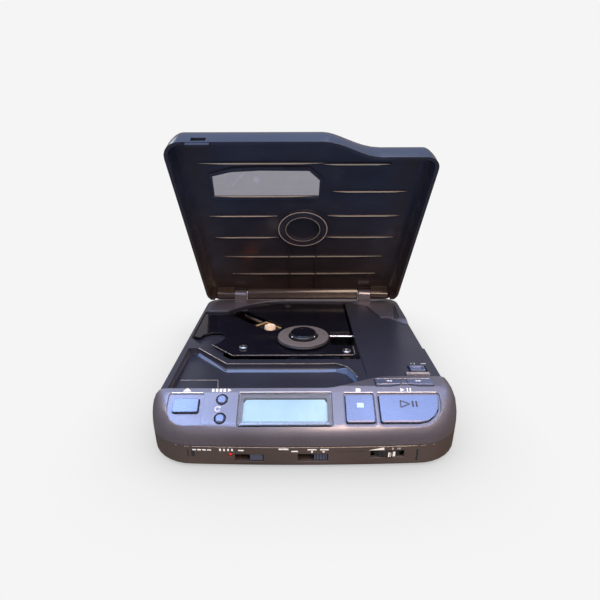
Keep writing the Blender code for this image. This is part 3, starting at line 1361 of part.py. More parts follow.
def make_screw(head_bottom, head_thick, tip, up):
    """A pan-head screw on Z with a cross recess; up is 1 where its head is at the top, else -1."""
    face = head_bottom + up * head_thick
    profile = [(0, tip), (SCREW_SHANK, tip), (SCREW_SHANK, head_bottom), (SCREW_HEAD, head_bottom),
               (SCREW_HEAD, face - up * GAP), (SCREW_HEAD - GAP, face), (0, face)]
    screw = turned(profile, SMALL_SIDES)
    z0, z1 = sorted((face - up * CROSS_DEEP, face + up * OVERRUN))
    cross = block(-CROSS_LONG, CROSS_LONG, -CROSS_WIDE / 2, CROSS_WIDE / 2, z0, z1)
    join(cross, block(-CROSS_WIDE / 2, CROSS_WIDE / 2, -CROSS_LONG, CROSS_LONG, z0 - FILM / 6, z1 + FILM))
    return cut(screw, cross)


def make_plate_screw(x, y):
    bottom = PLATE_TOP + GAP
    return moved(make_screw(bottom, PLATE_HEAD, POST_TOP - POST_RADIUS * 2 + GAP, 1), x, y)


def make_case_screw(x, y):
    bottom = SCREW_SUNK + SCREW_HEAD_DEEP - GAP
    return moved(make_screw(bottom, SCREW_HEAD_DEEP - GAP, SCREW_TIP, -1), x, y)


def make_foot(x, y):
    face = -FOOT_PROUD
    foot = turned([(0, face), (FOOT_RADIUS - FOOT_EDGE, face), (FOOT_RADIUS, face + FOOT_EDGE),
                   (FOOT_RADIUS, FOOT_SUNK - GAP), (0, FOOT_SUNK - GAP)], ROUND_SIDES // 2 + SMALL_STEPS * 2)
    return moved(foot, x, y)


BOARD_INSETS = [(-16.0 * MM, -19.3 * MM), (45.5 * MM, -19.3 * MM), (45.5 * MM, -57.3 * MM),
                (38.0 * MM, -57.3 * MM), (38.0 * MM, 6.5 * MM), (-19.5 * MM, 6.5 * MM),
                (-19.5 * MM, 17.5 * MM), (-5.0 * MM, 17.5 * MM), (-5.0 * MM, -35.3 * MM),
                (-16.0 * MM, -29.3 * MM)]
CHIPS = [(-30.0 * MM, -14.0 * MM, -52.0 * MM, -36.0 * MM), (-6.0 * MM, 6.0 * MM, -50.0 * MM, -42.0 * MM),
         (0.0 * MM, 14.0 * MM, 18.0 * MM, 32.0 * MM)]
CHIP_HIGH = 1.5 * MM
STUD_INSETS = [(-20.5 * MM, -51.3 * MM), (55.5 * MM, -25.3 * MM), (57.5 * MM, 21.5 * MM),
               (-13.5 * MM, 30.5 * MM)]
STUD_RADIUS = 1.6 * MM


def make_main_board():
    board = prism(from_edges(BOARD_INSETS), BOARD_LOW, BOARD_TOP)
    for x, y in PLATE_POSTS:
        cut(board, moved(drum(POST_RADIUS + GAP * 2, BOARD_LOW - OVERRUN, BOARD_TOP + OVERRUN), x, y))
    for x0, x1, y0, y1 in CHIPS:
        join(board, block(x0, x1, y0, y1, BOARD_TOP - BITE, BOARD_TOP + CHIP_HIGH))
    for x, y in from_edges(STUD_INSETS):
        join(board, moved(drum(STUD_RADIUS, FLOOR + GAP, BOARD_LOW + BITE), x, y))
    return board


# The lid and its hinge, drawn closed

LID_RIM = RIM + GAP
LID_CLEAR = 0.4 * MM
SKIRT_FROM_REAR = 3.5 * MM
REAR_SKIRT_Y = REAR_REACH - SKIRT_FROM_REAR
REAR_SKIRT_Z = 21.2 * MM
EAR_SWEEP = 4.9 * MM
CROWN_SHARES = (0.8, 0.55, 0.25)
RIB = 0.8 * MM
LONG_RIB_X = 8.5 * MM
LONG_RIB_FROM_REAR = 6.0 * MM
LONG_RIB_Y = (15.4 * MM, REAR_REACH - LONG_RIB_FROM_REAR)
CLAMP_OUTER = 14.3 * MM
CLAMP_INNER = 9.6 * MM
CLAMP_DEEP = 2.0 * MM
WINDOW_INSETS = [(18.2 * MM, -24.0 * MM), (19.1 * MM, -38.3 * MM), (29.2 * MM, -41.0 * MM)]
WINDOW = [(x - HALF_WIDTH, y) for x, y in WINDOW_INSETS]
WINDOW += [(-21.7 * MM, -41.9 * MM), (3.0 * MM, -41.6 * MM), (8.6 * MM, -35.6 * MM), (8.4 * MM, -24.0 * MM)]
WINDOW_FRAME = 1.1 * MM
WINDOW_STEP = 1.2 * MM
WINDOW_THICK = 1.0 * MM
CATCH_INSETS = (14.3 * MM, 21.3 * MM, 19.7 * MM, 22.3 * MM)
CATCH = near_left(CATCH_INSETS)
TAB_INSETS = (12.0 * MM, 23.0 * MM, 17.2 * MM)
CATCH_TAB = near_left(TAB_INSETS)
BARREL_STEPS = 12
BARREL_WEB_FRONT = 3.1 * MM
BARREL_WEB_REAR = 1.6 * MM
SPRING_CORE = 2.6 * MM
SPRING_BORE = 2.0 * MM
SPRING_RADIUS = 1.45 * MM
SPRING_WIRE = 0.2 * MM
SPRING_TURNS = 4
SPRING_SIDES = 5
PIN_LONG = 0.3 * MM

# Ribs across the lid: distance behind the axis, then where each starts and ends; an outer end is given
# inwards from the lid's side and an inner end from the middle
LEFT_RIBS = [(-9.8 * MM, 13.0 * MM, 14.2 * MM), (8.0 * MM, 13.4 * MM, 14.2 * MM)]
RIGHT_RIBS = [(-45.5 * MM, 9.6 * MM, 21.8 * MM), (-27.7 * MM, 15.6 * MM, 10.6 * MM),
              (-9.8 * MM, 14.2 * MM, 11.3 * MM), (8.0 * MM, 14.2 * MM, 11.5 * MM)]
WHOLE_RIBS = [(25.9 * MM, 16.2 * MM, 15.6 * MM), (43.7 * MM, 18.7 * MM, 17.2 * MM)]


def lid_outline():
    """The lid in plan: the case's sides and rear, and in front the panel's stepped edge."""
    back = LID_CLEAR
    left, right = LID_LEFT_CORNER, LID_RIGHT_CORNER
    front_left = -PANEL_REAR + back
    front_right = -PANEL_REAR_RIGHT + back
    steps = SMALL_STEPS + 1
    rear = REAR_REACH - REAR_CORNER
    points = arc(left - HALF_WIDTH, front_left + left, left, HALF_TURN, THREE_QUARTERS, steps + 1)
    points += panel_contour(back)[1:-1]
    points += arc(HALF_WIDTH - right, front_right + right, right, THREE_QUARTERS, FULL_TURN, steps + 1)
    points += arc(HALF_WIDTH - REAR_CORNER, rear, REAR_CORNER, 0, QUARTER, steps)
    points += arc(REAR_CORNER - HALF_WIDTH, rear, REAR_CORNER, QUARTER, HALF_TURN, steps)
    return points


def flat_top(_):
    """The lid's height, the same at every distance behind the axis."""
    return LID_TOP


def lid_body():
    outline = lid_outline()
    start = math.asin((LID_RIM - SHOULDER) / (LID_TOP - SHOULDER))
    rings = dome_rings(outline, 0, 0, flat_top, SIDE_ROUND, LID_FRONT_ROUND, start)
    top = rings[-1]
    for share in CROWN_SHARES:
        height = LID_TOP + LID_CROWN * (1 - share * share)
        rings.append([(x * share, y * share, height) for x, y, _ in top])
    return stack(rings)


def make_lid_shell():
    lid = lid_body()
    inner = dome_rings(lid_outline(), LID_WALL, LID_TOP - LID_INNER, flat_top, SIDE_ROUND, LID_FRONT_ROUND)
    cut(lid, stack(inner))
    wide = HALF_WIDTH + OVERRUN
    cut(lid, block(-wide, wide, REAR_SKIRT_Y, REAR_REACH + OVERRUN, RIM - OVERRUN, REAR_SKIRT_Z))
    roof = LID_INNER + BITE
    add_lid_ribs(lid, roof)
    add_window_frame(lid, roof)
    x0, x1, z = CATCH_TAB
    front = -PANEL_REAR + LID_CLEAR + BITE
    join(lid, block(x0, x1, front, front + LID_WALL - BITE, z, LID_RIM + LID_WALL))
    x0, x1, z0, z1 = CATCH
    cut(lid, block(x0, x1, -PANEL_REAR - OVERRUN, -PANEL_REAR + OVERRUN, z0, z1))
    core = along_x(drum(SPRING_CORE, -BARREL_OUTSIDE + WALL, -EAR_OUTSIDE))
    for side in (1, -1):
        if side < 0:
            cut(lid, moved(core, 0, HINGE_REACH, HINGE_HEIGHT))
        join(lid, lid_barrel(side))
        cut(lid, pin_hole(*sorted((side * (EAR_INSIDE - OVERRUN), side * (BARREL_OUTSIDE - WALL)))))
        x0, x1 = sorted((side * (EAR_INSIDE - GAP), side * (EAR_OUTSIDE + GAP / 2)))
        cut(lid, moved(along_x(drum(EAR_SWEEP, x0, x1, ROUND_SIDES)), 0, HINGE_REACH, HINGE_HEIGHT))
    return lid


def lid_barrel(side):
    """A hinge knuckle on a web that hangs from the lid's roof, as one profile."""
    x0, x1 = sorted((side * (EAR_OUTSIDE + GAP), side * BARREL_OUTSIDE))
    start = math.degrees(math.acos(BARREL_WEB_REAR / BARREL_RADIUS))
    end = math.degrees(math.acos(-BARREL_WEB_FRONT / BARREL_RADIUS))
    roof = LID_INNER + BITE
    points = [(HINGE_REACH + BARREL_WEB_REAR, roof), (HINGE_REACH - BARREL_WEB_FRONT, roof)]
    points += arc(HINGE_REACH, HINGE_HEIGHT, BARREL_RADIUS, end, FULL_TURN + start, BARREL_STEPS)
    barrel = profile_along_x(points, x0, x1)
    if side < 0:
        bore = along_x(drum(SPRING_BORE, -BARREL_OUTSIDE + WALL * 2, -EAR_OUTSIDE + OVERRUN))
        cut(barrel, moved(bore, 0, HINGE_REACH, HINGE_HEIGHT))
    return barrel


def rib_spans():
    """Each rib across the lid as its distance behind the axis and its two ends."""
    spans = [(y, outer - HALF_WIDTH, -inner) for y, outer, inner in LEFT_RIBS]
    spans += [(y, inner, HALF_WIDTH - outer) for y, inner, outer in RIGHT_RIBS]
    return spans + [(y, left - HALF_WIDTH, HALF_WIDTH - right) for y, left, right in WHOLE_RIBS]


def add_lid_ribs(lid, roof):
    low = LID_INNER - RIB
    for y, x0, x1 in rib_spans():
        join(lid, block(x0, x1, y - RIB / 2, y + RIB / 2, low, roof))
    for side in (-1, 1):
        x = side * LONG_RIB_X
        join(lid, block(x - RIB / 2, x + RIB / 2, *LONG_RIB_Y, low - GAP / 2, roof + GAP / 2))
    ring = turned([(CLAMP_INNER, LID_INNER - CLAMP_DEEP), (CLAMP_OUTER, LID_INNER - CLAMP_DEEP),
                   (CLAMP_OUTER, roof + GAP / 3), (CLAMP_INNER, roof + GAP / 3)], ROUND_SIDES)
    join(lid, ring)


def add_window_frame(lid, roof):
    """The window's opening, the ledge its pane lies in from outside and the rib round it inside."""
    frame = grown(WINDOW, WINDOW_STEP + WINDOW_FRAME)
    join(lid, prism(frame, LID_INNER - RIB, roof - GAP))
    cut(lid, prism(WINDOW, LID_INNER - OVERRUN, LID_TOP + OVERRUN))
    cut(lid, prism(grown(WINDOW, WINDOW_STEP), LID_TOP - WINDOW_THICK - GAP, LID_TOP + OVERRUN))


def make_lid_window():
    pane = grown(WINDOW, WINDOW_STEP - GAP)
    return prism(pane, LID_TOP - WINDOW_THICK, LID_TOP)


def make_hinge_pin(side):
    x0, x1 = sorted((side * (EAR_INSIDE + PIN_LONG), side * (BARREL_OUTSIDE - WALL - PIN_LONG)))
    return moved(along_x(drum(PIN_RADIUS, x0, x1)), 0, HINGE_REACH, HINGE_HEIGHT)


def make_lid_spring():
    """The coil round the left hinge pin, swept by hand round its helix."""
    x0 = -BARREL_OUTSIDE + WALL * 2 + GAP + SPRING_WIRE
    x1 = -EAR_OUTSIDE - GAP * 2 - SPRING_WIRE
    steps = SPRING_TURNS * SMALL_SIDES
    rings = []
    for i in range(steps + 1):
        turn = 2 * math.pi * SPRING_TURNS * i / steps
        outward = Vector((0, math.cos(turn), math.sin(turn)))
        centre = Vector((x0 + (x1 - x0) * i / steps, HINGE_REACH, HINGE_HEIGHT)) + outward * SPRING_RADIUS
        ring = []
        for k in range(SPRING_SIDES):
            angle = 2 * math.pi * k / SPRING_SIDES
            ring.append(centre + SPRING_WIRE * (math.cos(angle) * outward + Vector((math.sin(angle), 0, 0))))
        rings.append(ring)
    return stack(rings)


# Names, materials and parents

PAINT = make_material("panel_paint", (0.085, 0.078, 0.072), 0.38, 0.6)
BASE_PAINT = make_material("base_plastic", (0.07, 0.062, 0.055), 0.5, 0.2)
DECK_BLACK = make_material("plate_gloss", (0.012, 0.012, 0.015), 0.15)
LID_DARK = make_material("lid_gloss", (0.03, 0.028, 0.03), 0.2)
KEY_SATIN = make_material("key_satin", (0.16, 0.18, 0.21), 0.35, 0.5)
CLEAR = make_material("window_clear", (0.5, 0.52, 0.55), 0.05, 0.0, 0.35)
LCD_GLASS = make_material("lcd_glass", (0.55, 0.63, 0.68), 0.1)
STEEL = make_material("steel", (0.55, 0.55, 0.56), 0.25, 1.0)
CHROME = make_material("chrome", (0.8, 0.8, 0.8), 0.06, 1.0)
BRASS = make_material("brass", (0.75, 0.55, 0.25), 0.3, 1.0)
RUBBER = make_material("rubber", (0.03, 0.03, 0.03), 0.8)
BLACK_PLASTIC = make_material("black_plastic", (0.03, 0.03, 0.032), 0.45)
GEAR_WHITE = make_material("gear_nylon", (0.75, 0.73, 0.68), 0.5)
BOARD_GREEN = make_material("board_resin", (0.05, 0.2, 0.09), 0.5)
AMBER = make_material("ribbon_amber", (0.65, 0.3, 0.06), 0.4)
LAMP_RED = make_material("lamp_red", (0.7, 0.05, 0.03), 0.2)
PACK_GREY = make_material("pack_grey", (0.35, 0.36, 0.38), 0.45)
LENS_BLUE = make_material("lens_glass", (0.1, 0.14, 0.25), 0.05)

SHARP_ANGLE = math.radians(32)


def frame_empty(name, place, tilt=0.0, parent=None):
    made = bpy.data.objects.new(name, None)
    bpy.context.scene.collection.objects.link(made)
    made.parent = parent
    made.location = place
    made.rotation_euler = (tilt, 0, 0)
    return made


def place(piece, name, material, frame, origin=(0, 0, 0), frame_origin=(0, 0, 0)):
    """Names a piece, puts its origin where it turns or slides, and hangs it on its frame."""
    piece.name = name
    piece.data.name = name
    piece.data.transform(Matrix.Translation(-Vector(origin)))
    piece.location = Vector(origin) - Vector(frame_origin)
    piece.parent = frame
    piece.data.materials.clear()
    piece.data.materials.append(material)
    piece.data.shade_smooth()
    piece.data.set_sharp_from_angle(angle=SHARP_ANGLE)
    return piece


def panel_point(x, down):
    return panel_matrix() @ Vector((x, -down, 0))


def cap_centre(values):
    x0, x1, d0, d1 = values
    return panel_point((x0 + x1) / 2, (d0 + d1) / 2)


def build_case(player):
    place(make_bottom_case(), "bottom_case", BASE_PAINT, player)
    place(make_top_case(), "top_case", PAINT, player)
    for side, first in (("left", 0), ("right", 1)):
        for row in range(len(CASE_SCREWS) // 2):
            x, y = CASE_SCREWS[first + row * 2]
            place(make_case_screw(x, y), f"case_screw_{side}_{row + 1}", STEEL, player, (x, y, 0))
            x, y = FEET[first + row * 2]
            place(make_foot(x, y), f"foot_{side}_{row + 1}", RUBBER, player, (x, y, -FOOT_PROUD))
    place(make_main_board(), "main_board", BOARD_GREEN, player)
    place(make_battery_pack(), "battery_pack", PACK_GREY, player)
    place(make_battery_door(), "battery_door", BASE_PAINT, player)
    for name, y in zip(("headphone_jack", "line_out_jack", "dc_jack"), JACK_ROWS):
        bore = JACK_BORE - (FILM / 2 if name == "dc_jack" else 0)
        place(make_jack(y, bore), name, BLACK_PLASTIC, player, (JACK_FACE, y, JACK_HEIGHT))


def build_controls(player):
    place(make_lcd_window(), "lcd_window", CLEAR, player)
    place(make_lcd_module(), "lcd_module", LCD_GLASS, player)
    place(make_key_board(), "key_board", BOARD_GREEN, player)
    place(make_open_button(), "open_button", KEY_SATIN, player, cap_centre(OPEN_CAP))
    place(make_stop_button(), "stop_button", KEY_SATIN, player, cap_centre(STOP_CAP))
    place(make_play_button(), "play_pause_button", KEY_SATIN, player, cap_centre(PLAY_CAP))
    for name, down in (("play_mode_button", MODE_DOWN), ("repeat_button", REPEAT_DOWN)):
        place(make_dot_button(down), name, KEY_SATIN, player, panel_point(DOT_X, down))
    x0, x1, y0, y1 = ROCKER
    pivot = ((x0 + x1) / 2, (y0 + y1) / 2, ROCKER_PIVOT_HEIGHT)
    place(make_search_rocker(), "search_rocker", KEY_SATIN, player, pivot)
    hook_middle = (sum(LATCH_X) / 2, LATCH_TIP, LATCH_Z[0])
    place(make_latch_hook(), "latch_hook", BLACK_PLASTIC, player, hook_middle)
    place(make_deck_switch(), "deck_slide_switch", BLACK_PLASTIC, player)
    place(make_front_slider(HOLD_SLOT, False), "hold_slider", KEY_SATIN, player)
    place(make_front_slider(BASS_SLOT, True), "bass_slider", KEY_SATIN, player)
    place(make_hold_lamp(), "hold_lamp", LAMP_RED, player)
    place(make_volume_wheel(), "volume_wheel", BLACK_PLASTIC, player, (*WHEEL_CENTRE, WHEEL_LOW))


def build_mechanism(player):
    place(make_mechanism_plate(), "mechanism_plate", DECK_BLACK, player)
    for k, (x, y) in enumerate(PLATE_POSTS):
        place(make_damper(x, y), f"damper_{k + 1}", RUBBER, player, (x, y, POST_TOP))
        place(make_plate_screw(x, y), f"plate_screw_{k + 1}", STEEL, player, (x, y, PLATE_TOP))
    place(make_guide_rod(1), "guide_rod_left", STEEL, player)
    place(make_guide_rod(-1), "guide_rod_right", STEEL, player)
    place(make_guide_pin(), "guide_pin", STEEL, player)
    lens = slot_matrix() @ Vector((LENS_REACH, 0, SLED_TOP))
    place(make_sled(), "pickup_sled", BLACK_PLASTIC, player, lens)
    place(make_pickup_lens(), "pickup_lens", LENS_BLUE, player, lens)
    place(make_actuator_yoke(), "actuator_yoke", BRASS, player, lens)
    gear_axis = slot_matrix() @ Vector((*gear_centre(), RACK_LOW))
    place(make_sled_gear(), "sled_gear", GEAR_WHITE, player, gear_axis)
    place(make_sled_motor(), "sled_motor", STEEL, player, gear_axis)
    place(make_flex(), "pickup_flex", AMBER, player)
    place(make_spindle_motor(), "spindle_motor", STEEL, player)
    place(make_platter(), "turntable_platter", BLACK_PLASTIC, player)
    place(make_mat(), "turntable_mat", RUBBER, player)
    place(make_hub_ring(), "hub_ring", BLACK_PLASTIC, player)
    place(make_hub_cap(), "hub_cap", DECK_BLACK, player)
    for k in range(BALLS):
        place(make_ball(k), f"clamp_ball_{k + 1}", CHROME, player)


def build_lid(player):
    hinge = (0, HINGE_REACH, HINGE_HEIGHT)
    lid = frame_empty("lid_frame", hinge, -LID_OPEN, player)
    place(make_lid_shell(), "lid_shell", LID_DARK, lid, hinge, hinge)
    place(make_lid_window(), "lid_window", CLEAR, lid, hinge, hinge)
    for name, side in (("hinge_pin_left", -1), ("hinge_pin_right", 1)):
        place(make_hinge_pin(side), name, STEEL, player, hinge)
    place(make_lid_spring(), "lid_spring", STEEL, player, hinge)


def build():
    clear_scene()
    player = frame_empty("player", (0, AXIS_BEHIND_MIDDLE, FOOT_PROUD))
    build_case(player)
    build_controls(player)
    build_mechanism(player)
    build_lid(player)


build()
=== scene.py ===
"""The looks of the portable CD player: finishes, printed marks, floor, light and camera."""
import json
import math

import bmesh
import bpy
from mathutils import Matrix, Vector
from mathutils.bvhtree import BVHTree

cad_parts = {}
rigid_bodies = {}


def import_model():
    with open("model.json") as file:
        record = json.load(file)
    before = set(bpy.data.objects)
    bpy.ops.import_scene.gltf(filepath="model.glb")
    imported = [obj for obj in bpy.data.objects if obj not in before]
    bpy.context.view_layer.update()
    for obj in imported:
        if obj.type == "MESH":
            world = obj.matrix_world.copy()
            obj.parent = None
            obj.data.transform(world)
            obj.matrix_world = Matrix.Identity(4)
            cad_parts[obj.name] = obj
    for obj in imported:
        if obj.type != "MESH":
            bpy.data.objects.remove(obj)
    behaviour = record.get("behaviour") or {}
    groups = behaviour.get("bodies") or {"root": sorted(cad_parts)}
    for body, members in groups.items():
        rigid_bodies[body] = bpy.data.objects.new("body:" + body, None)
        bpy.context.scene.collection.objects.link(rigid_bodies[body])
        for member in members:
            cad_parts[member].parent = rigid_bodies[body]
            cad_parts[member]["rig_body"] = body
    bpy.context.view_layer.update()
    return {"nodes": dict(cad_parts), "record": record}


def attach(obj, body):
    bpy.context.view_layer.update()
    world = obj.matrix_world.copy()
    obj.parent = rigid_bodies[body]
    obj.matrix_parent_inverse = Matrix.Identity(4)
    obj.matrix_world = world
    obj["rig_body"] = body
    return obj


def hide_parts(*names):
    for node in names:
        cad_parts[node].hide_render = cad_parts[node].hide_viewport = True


MM = 0.001

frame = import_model()
NODES = frame["nodes"]
SLOT_OF = {entry["node"]: entry["material_slot"] for entry in frame["record"]["subparts"]}
BODY_OF = {name: NODES[name]["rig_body"] for name in NODES}

# Places in the frame, measured from the disc's axis at the case's underside
AXIS = Vector((0.0, 6.98, 0.8)) * MM
RIM = 18.4 * MM               # the deck's level
RECESS_FLOOR = 14.4 * MM
PLATE_TOP = 17.6 * MM
DECK_HALF = 61.5 * MM
DECK_REAR = 62.0 * MM

# The control panel's plane: its rear edge and its slope
PANEL_REAR = 65.2 * MM
PANEL_TOP = 26.6 * MM
SLOPE = math.radians(31.3)
PANEL = (Matrix.Translation(AXIS + Vector((0, -PANEL_REAR, PANEL_TOP)))
         @ Matrix.Rotation(SLOPE, 4, "X"))

# The case seen from above and from in front
ABOVE = Matrix.Translation(AXIS)
FRONT = ABOVE @ Matrix.Rotation(math.pi / 2, 4, "X")

# The lid's inner face as it lies closed, what stands down from it, and the turn that opens it
LID_INNER = 27.2 * MM
RIB_RISE = 0.83 * MM
CLAMP_RISE = 2.03 * MM
HINGE = Vector((0, 62.7, 22.9)) * MM
LID_OPEN = math.radians(53.8)
LID_TURN = (Matrix.Translation(AXIS + HINGE) @ Matrix.Rotation(-LID_OPEN, 4, "X")
            @ Matrix.Translation(-HINGE))

# How the facets are welded and smoothed
WELD = 0.002 * MM
SHARP = math.radians(32)
EVEN_WEIGHT = 80
LEVEL_FACE = 0.95             # a face whose normal rises more than this counts as level

# How far off a mark's ray starts: over the panel, over the case, before the wheel and the front
OVER_PANEL = 12 * MM
OVER_CASE = 60 * MM
BEFORE_WHEEL = 95 * MM
BEFORE_FRONT = 120 * MM
INK = 0.03 * MM               # half a mark's thickness


# Shader building. Noise scales are in cells a metre, and most of a noise lies within SPREAD

SPREAD = (0.3, 0.7)
HAZE_SPREAD = (0.3, 0.75)
WIPE_SPREAD = (0.35, 0.75)
DUST_EDGE = 0.02
BEVEL_SAMPLES = 4


class Shader:
    """A Principled material under construction, with short calls for its nodes."""

    def __init__(self, name, colour, roughness, metallic=0.0, **values):
        self.material = bpy.data.materials.new(name)
        self.material.use_nodes = True
        self.tree = self.material.node_tree
        self.main = self.tree.nodes["Principled BSDF"]
        self.set(self.main, "Base Color", (*colour, 1.0))
        self.set(self.main, "Roughness", roughness)
        self.set(self.main, "Metallic", metallic)
        for key, value in values.items():
            self.set(self.main, key.replace("_", " "), value)
        self.place = self.node("ShaderNodeTexCoord").outputs["Object"]

    def node(self, kind, **values):
        made = self.tree.nodes.new(kind)
        for key, value in values.items():
            setattr(made, key, value)
        return made

    def set(self, node, socket, value):
        node.inputs[socket].default_value = value

    def link(self, source, node, socket):
        self.tree.links.new(source, node.inputs[socket])

    def noise(self, scale, detail=2.0, rough=0.5, stretch=None):
        made = self.node("ShaderNodeTexNoise")
        self.set(made, "Scale", scale)
        self.set(made, "Detail", detail)
        self.set(made, "Roughness", rough)
        place = self.place
        if stretch:
            mapping = self.node("ShaderNodeMapping")
            self.link(place, mapping, "Vector")
            self.set(mapping, "Scale", stretch)
            place = mapping.outputs["Vector"]
        self.link(place, made, "Vector")
        return made.outputs["Fac"]

    def grey(self, source, low, high, start, end):
        """A value that goes from low to high as the source goes from start to end."""
        made = self.node("ShaderNodeMapRange")
        self.link(source, made, "Value")
        self.set(made, "From Min", start)
        self.set(made, "From Max", end)
        self.set(made, "To Min", low)
        self.set(made, "To Max", high)
        return made.outputs["Result"]

    def share(self, source, most=1.0, spread=SPREAD):
        """A share from nothing to the most, to mix two colours by."""
        return self.grey(source, 0.0, most, *spread)

    def mix(self, factor, one, two):
        """One colour turning into another; a colour is three numbers or another node's output."""
        made = self.node("ShaderNodeMix", data_type="RGBA")
        for socket, value in (("Factor", factor), ("A", one), ("B", two)):
            target = [s for s in made.inputs if s.name == socket and s.enabled][0]
            if isinstance(value, bpy.types.NodeSocket):
                self.tree.links.new(value, target)
            else:
                target.default_value = (*value, 1.0)
        return [s for s in made.outputs if s.enabled][0]

    def drift(self, source, colour, low, high, spread=SPREAD):
        """The colour drifting between two tints of itself."""
        return self.mix(self.share(source, spread=spread), tint(colour, low), tint(colour, high))

    def dusted(self, base, scale, dust, colour):
        """The base with pale specks where a fine noise peaks, as dust lies on a dark surface."""
        if not dust:
            return base
        peak = 1.0 - dust
        specks = self.share(self.noise(scale, 1.0, 0.4), spread=(peak, peak + DUST_EDGE))
        return self.mix(specks, base, colour)

    def bump(self, source, height, normal=None):
        made = self.node("ShaderNodeBump")
        self.set(made, "Strength", 1.0)
        self.set(made, "Distance", height)
        self.link(source, made, "Height")
        if normal is not None:
            self.link(normal, made, "Normal")
        return made.outputs["Normal"]

    def soft_edges(self, radius):
        made = self.node("ShaderNodeBevel", samples=BEVEL_SAMPLES)
        self.set(made, "Radius", radius)
        return made.outputs["Normal"]

    def colour(self, source):
        self.link(source, self.main, "Base Color")

    def roughness(self, source):
        self.link(source, self.main, "Roughness")

    def normal(self, source):
        self.link(source, self.main, "Normal")

    def lit(self, colour, strength):
        """Light of its own, from three numbers or another node's output."""
        if isinstance(colour, bpy.types.NodeSocket):
            self.link(colour, self.main, "Emission Color")
        else:
            self.set(self.main, "Emission Color", (*colour, 1.0))
        self.set(self.main, "Emission Strength", strength)


def tint(colour, amount):
    return tuple(min(1.0, value * amount) for value in colour)


# Finishes

PAINT_PATCHES, PAINT_FLECK, PAINT_SMEAR, PAINT_PEEL, PAINT_DUST = 28.0, 5200.0, 150.0, 2400.0, 820.0
MOULD_FLOW, MOULD_HAZE, MOULD_GRAIN, MOULD_DUST = 60.0, 210.0, 3000.0, 700.0
METAL_LINES, PANE_WIPE, INK_WEAR, RUBBER_GRAIN, BOARD_TRACKS = 900.0, 120.0, 2600.0, 1500.0, 260.0
DISPLAY_CELLS, DISPLAY_DRIFT = 900.0, 45.0
FLOW_STRETCH = (1.0, 2.2, 1.0)
SMEAR_STRETCH = (1.0, 3.5, 1.0)
WIPE_STRETCH = (1.0, 4.0, 1.0)
GROUND_STRETCH = (1.0, 8.0, 1.0)


def painted(name, colour, roughness, metallic, fleck=0.35, dust=0.0, edge=0.25 * MM):
    """Satin paint with a metallic fleck, a faint orange peel and handling marks."""
    look = Shader(name, colour, roughness, metallic)
    base = look.drift(look.noise(PAINT_PATCHES, 3.0), colour, 0.82, 1.18)
    bright = look.share(look.noise(PAINT_FLECK, 2.0, 0.7), fleck, (0.52, 0.72))
    base = look.mix(bright, base, tint(colour, 3.2))
    look.colour(look.dusted(base, PAINT_DUST, dust, (0.5, 0.48, 0.47)))
    smear = look.noise(PAINT_SMEAR, 4.0, 0.6, SMEAR_STRETCH)
    look.roughness(look.grey(smear, roughness * 0.95, roughness * 1.12, *SPREAD))
    look.normal(look.bump(look.noise(PAINT_PEEL), 0.006 * MM, look.soft_edges(edge)))
    return look.material


def moulded(name, colour, roughness, grain=0.008 * MM, edge=0.2 * MM, dust=0.0, glow=None):
    """Moulded plastic: faint flow marks, a fine grain and duller patches where it is handled."""
    look = Shader(name, colour, roughness)
    base = look.drift(look.noise(MOULD_FLOW, 3.0, 0.55, FLOW_STRETCH), colour, 0.8, 1.25)
    look.colour(look.dusted(base, MOULD_DUST, dust, (0.66, 0.66, 0.66)))
    haze = look.noise(MOULD_HAZE, 4.0, 0.6)
    look.roughness(look.grey(haze, roughness * 0.75, roughness * 1.4, *HAZE_SPREAD))
    look.normal(look.bump(look.noise(MOULD_GRAIN), grain, look.soft_edges(edge)))
    if glow:
        look.lit(glow, 1.0)
    return look.material


def lid_gloss_painted_reflection(name):
    """Gloss black plastic with a painted reflection: bluer towards the lid's front edge and browner
    near its hinge.
    """
    look = Shader(name, (0.012, 0.012, 0.018), 0.17)
    parts = look.node("ShaderNodeSeparateXYZ")
    look.link(look.place, parts, "Vector")
    # Painted reflection: the colour runs from brown low on the open lid to navy high on it
    rise = look.share(parts.outputs["Z"], spread=(0.03, 0.095))
    base = look.mix(rise, (0.042, 0.028, 0.025), (0.018, 0.023, 0.046))
    flow = look.noise(MOULD_FLOW, 3.0, 0.55, FLOW_STRETCH)
    look.colour(look.mix(look.share(flow, 0.35), base, (0.008, 0.008, 0.012)))
    look.roughness(look.grey(look.noise(MOULD_HAZE, 4.0, 0.6), 0.13, 0.24, *HAZE_SPREAD))
    look.normal(look.bump(look.noise(MOULD_GRAIN), 0.004 * MM, look.soft_edges(0.35 * MM)))
    return look.material


def metal(name, colour, roughness, stretch=(1.0, 1.0, 1.0)):
    """Metal with fine turning or grinding lines and a few dull spots."""
    look = Shader(name, colour, roughness, 1.0)
    lines = look.noise(METAL_LINES, 3.0, 0.6, stretch)
    look.colour(look.drift(lines, colour, 0.8, 1.12))
    look.roughness(look.grey(lines, roughness * 0.7, roughness * 1.6, *SPREAD))
    look.normal(look.bump(lines, 0.004 * MM, look.soft_edges(0.12 * MM)))
    return look.material


def glassy(name, colour, roughness=0.03):
    """A clear moulded pane, faintly smoked, with fine wipe marks."""
    look = Shader(name, colour, roughness, Transmission_Weight=1.0, IOR=1.46)
    wipe = look.noise(PANE_WIPE, 4.0, 0.7, WIPE_STRETCH)
    look.roughness(look.grey(wipe, roughness * 0.5, roughness * 2.2, *WIPE_SPREAD))
    look.colour(look.drift(wipe, colour, 0.94, 1.0))
    return look.material


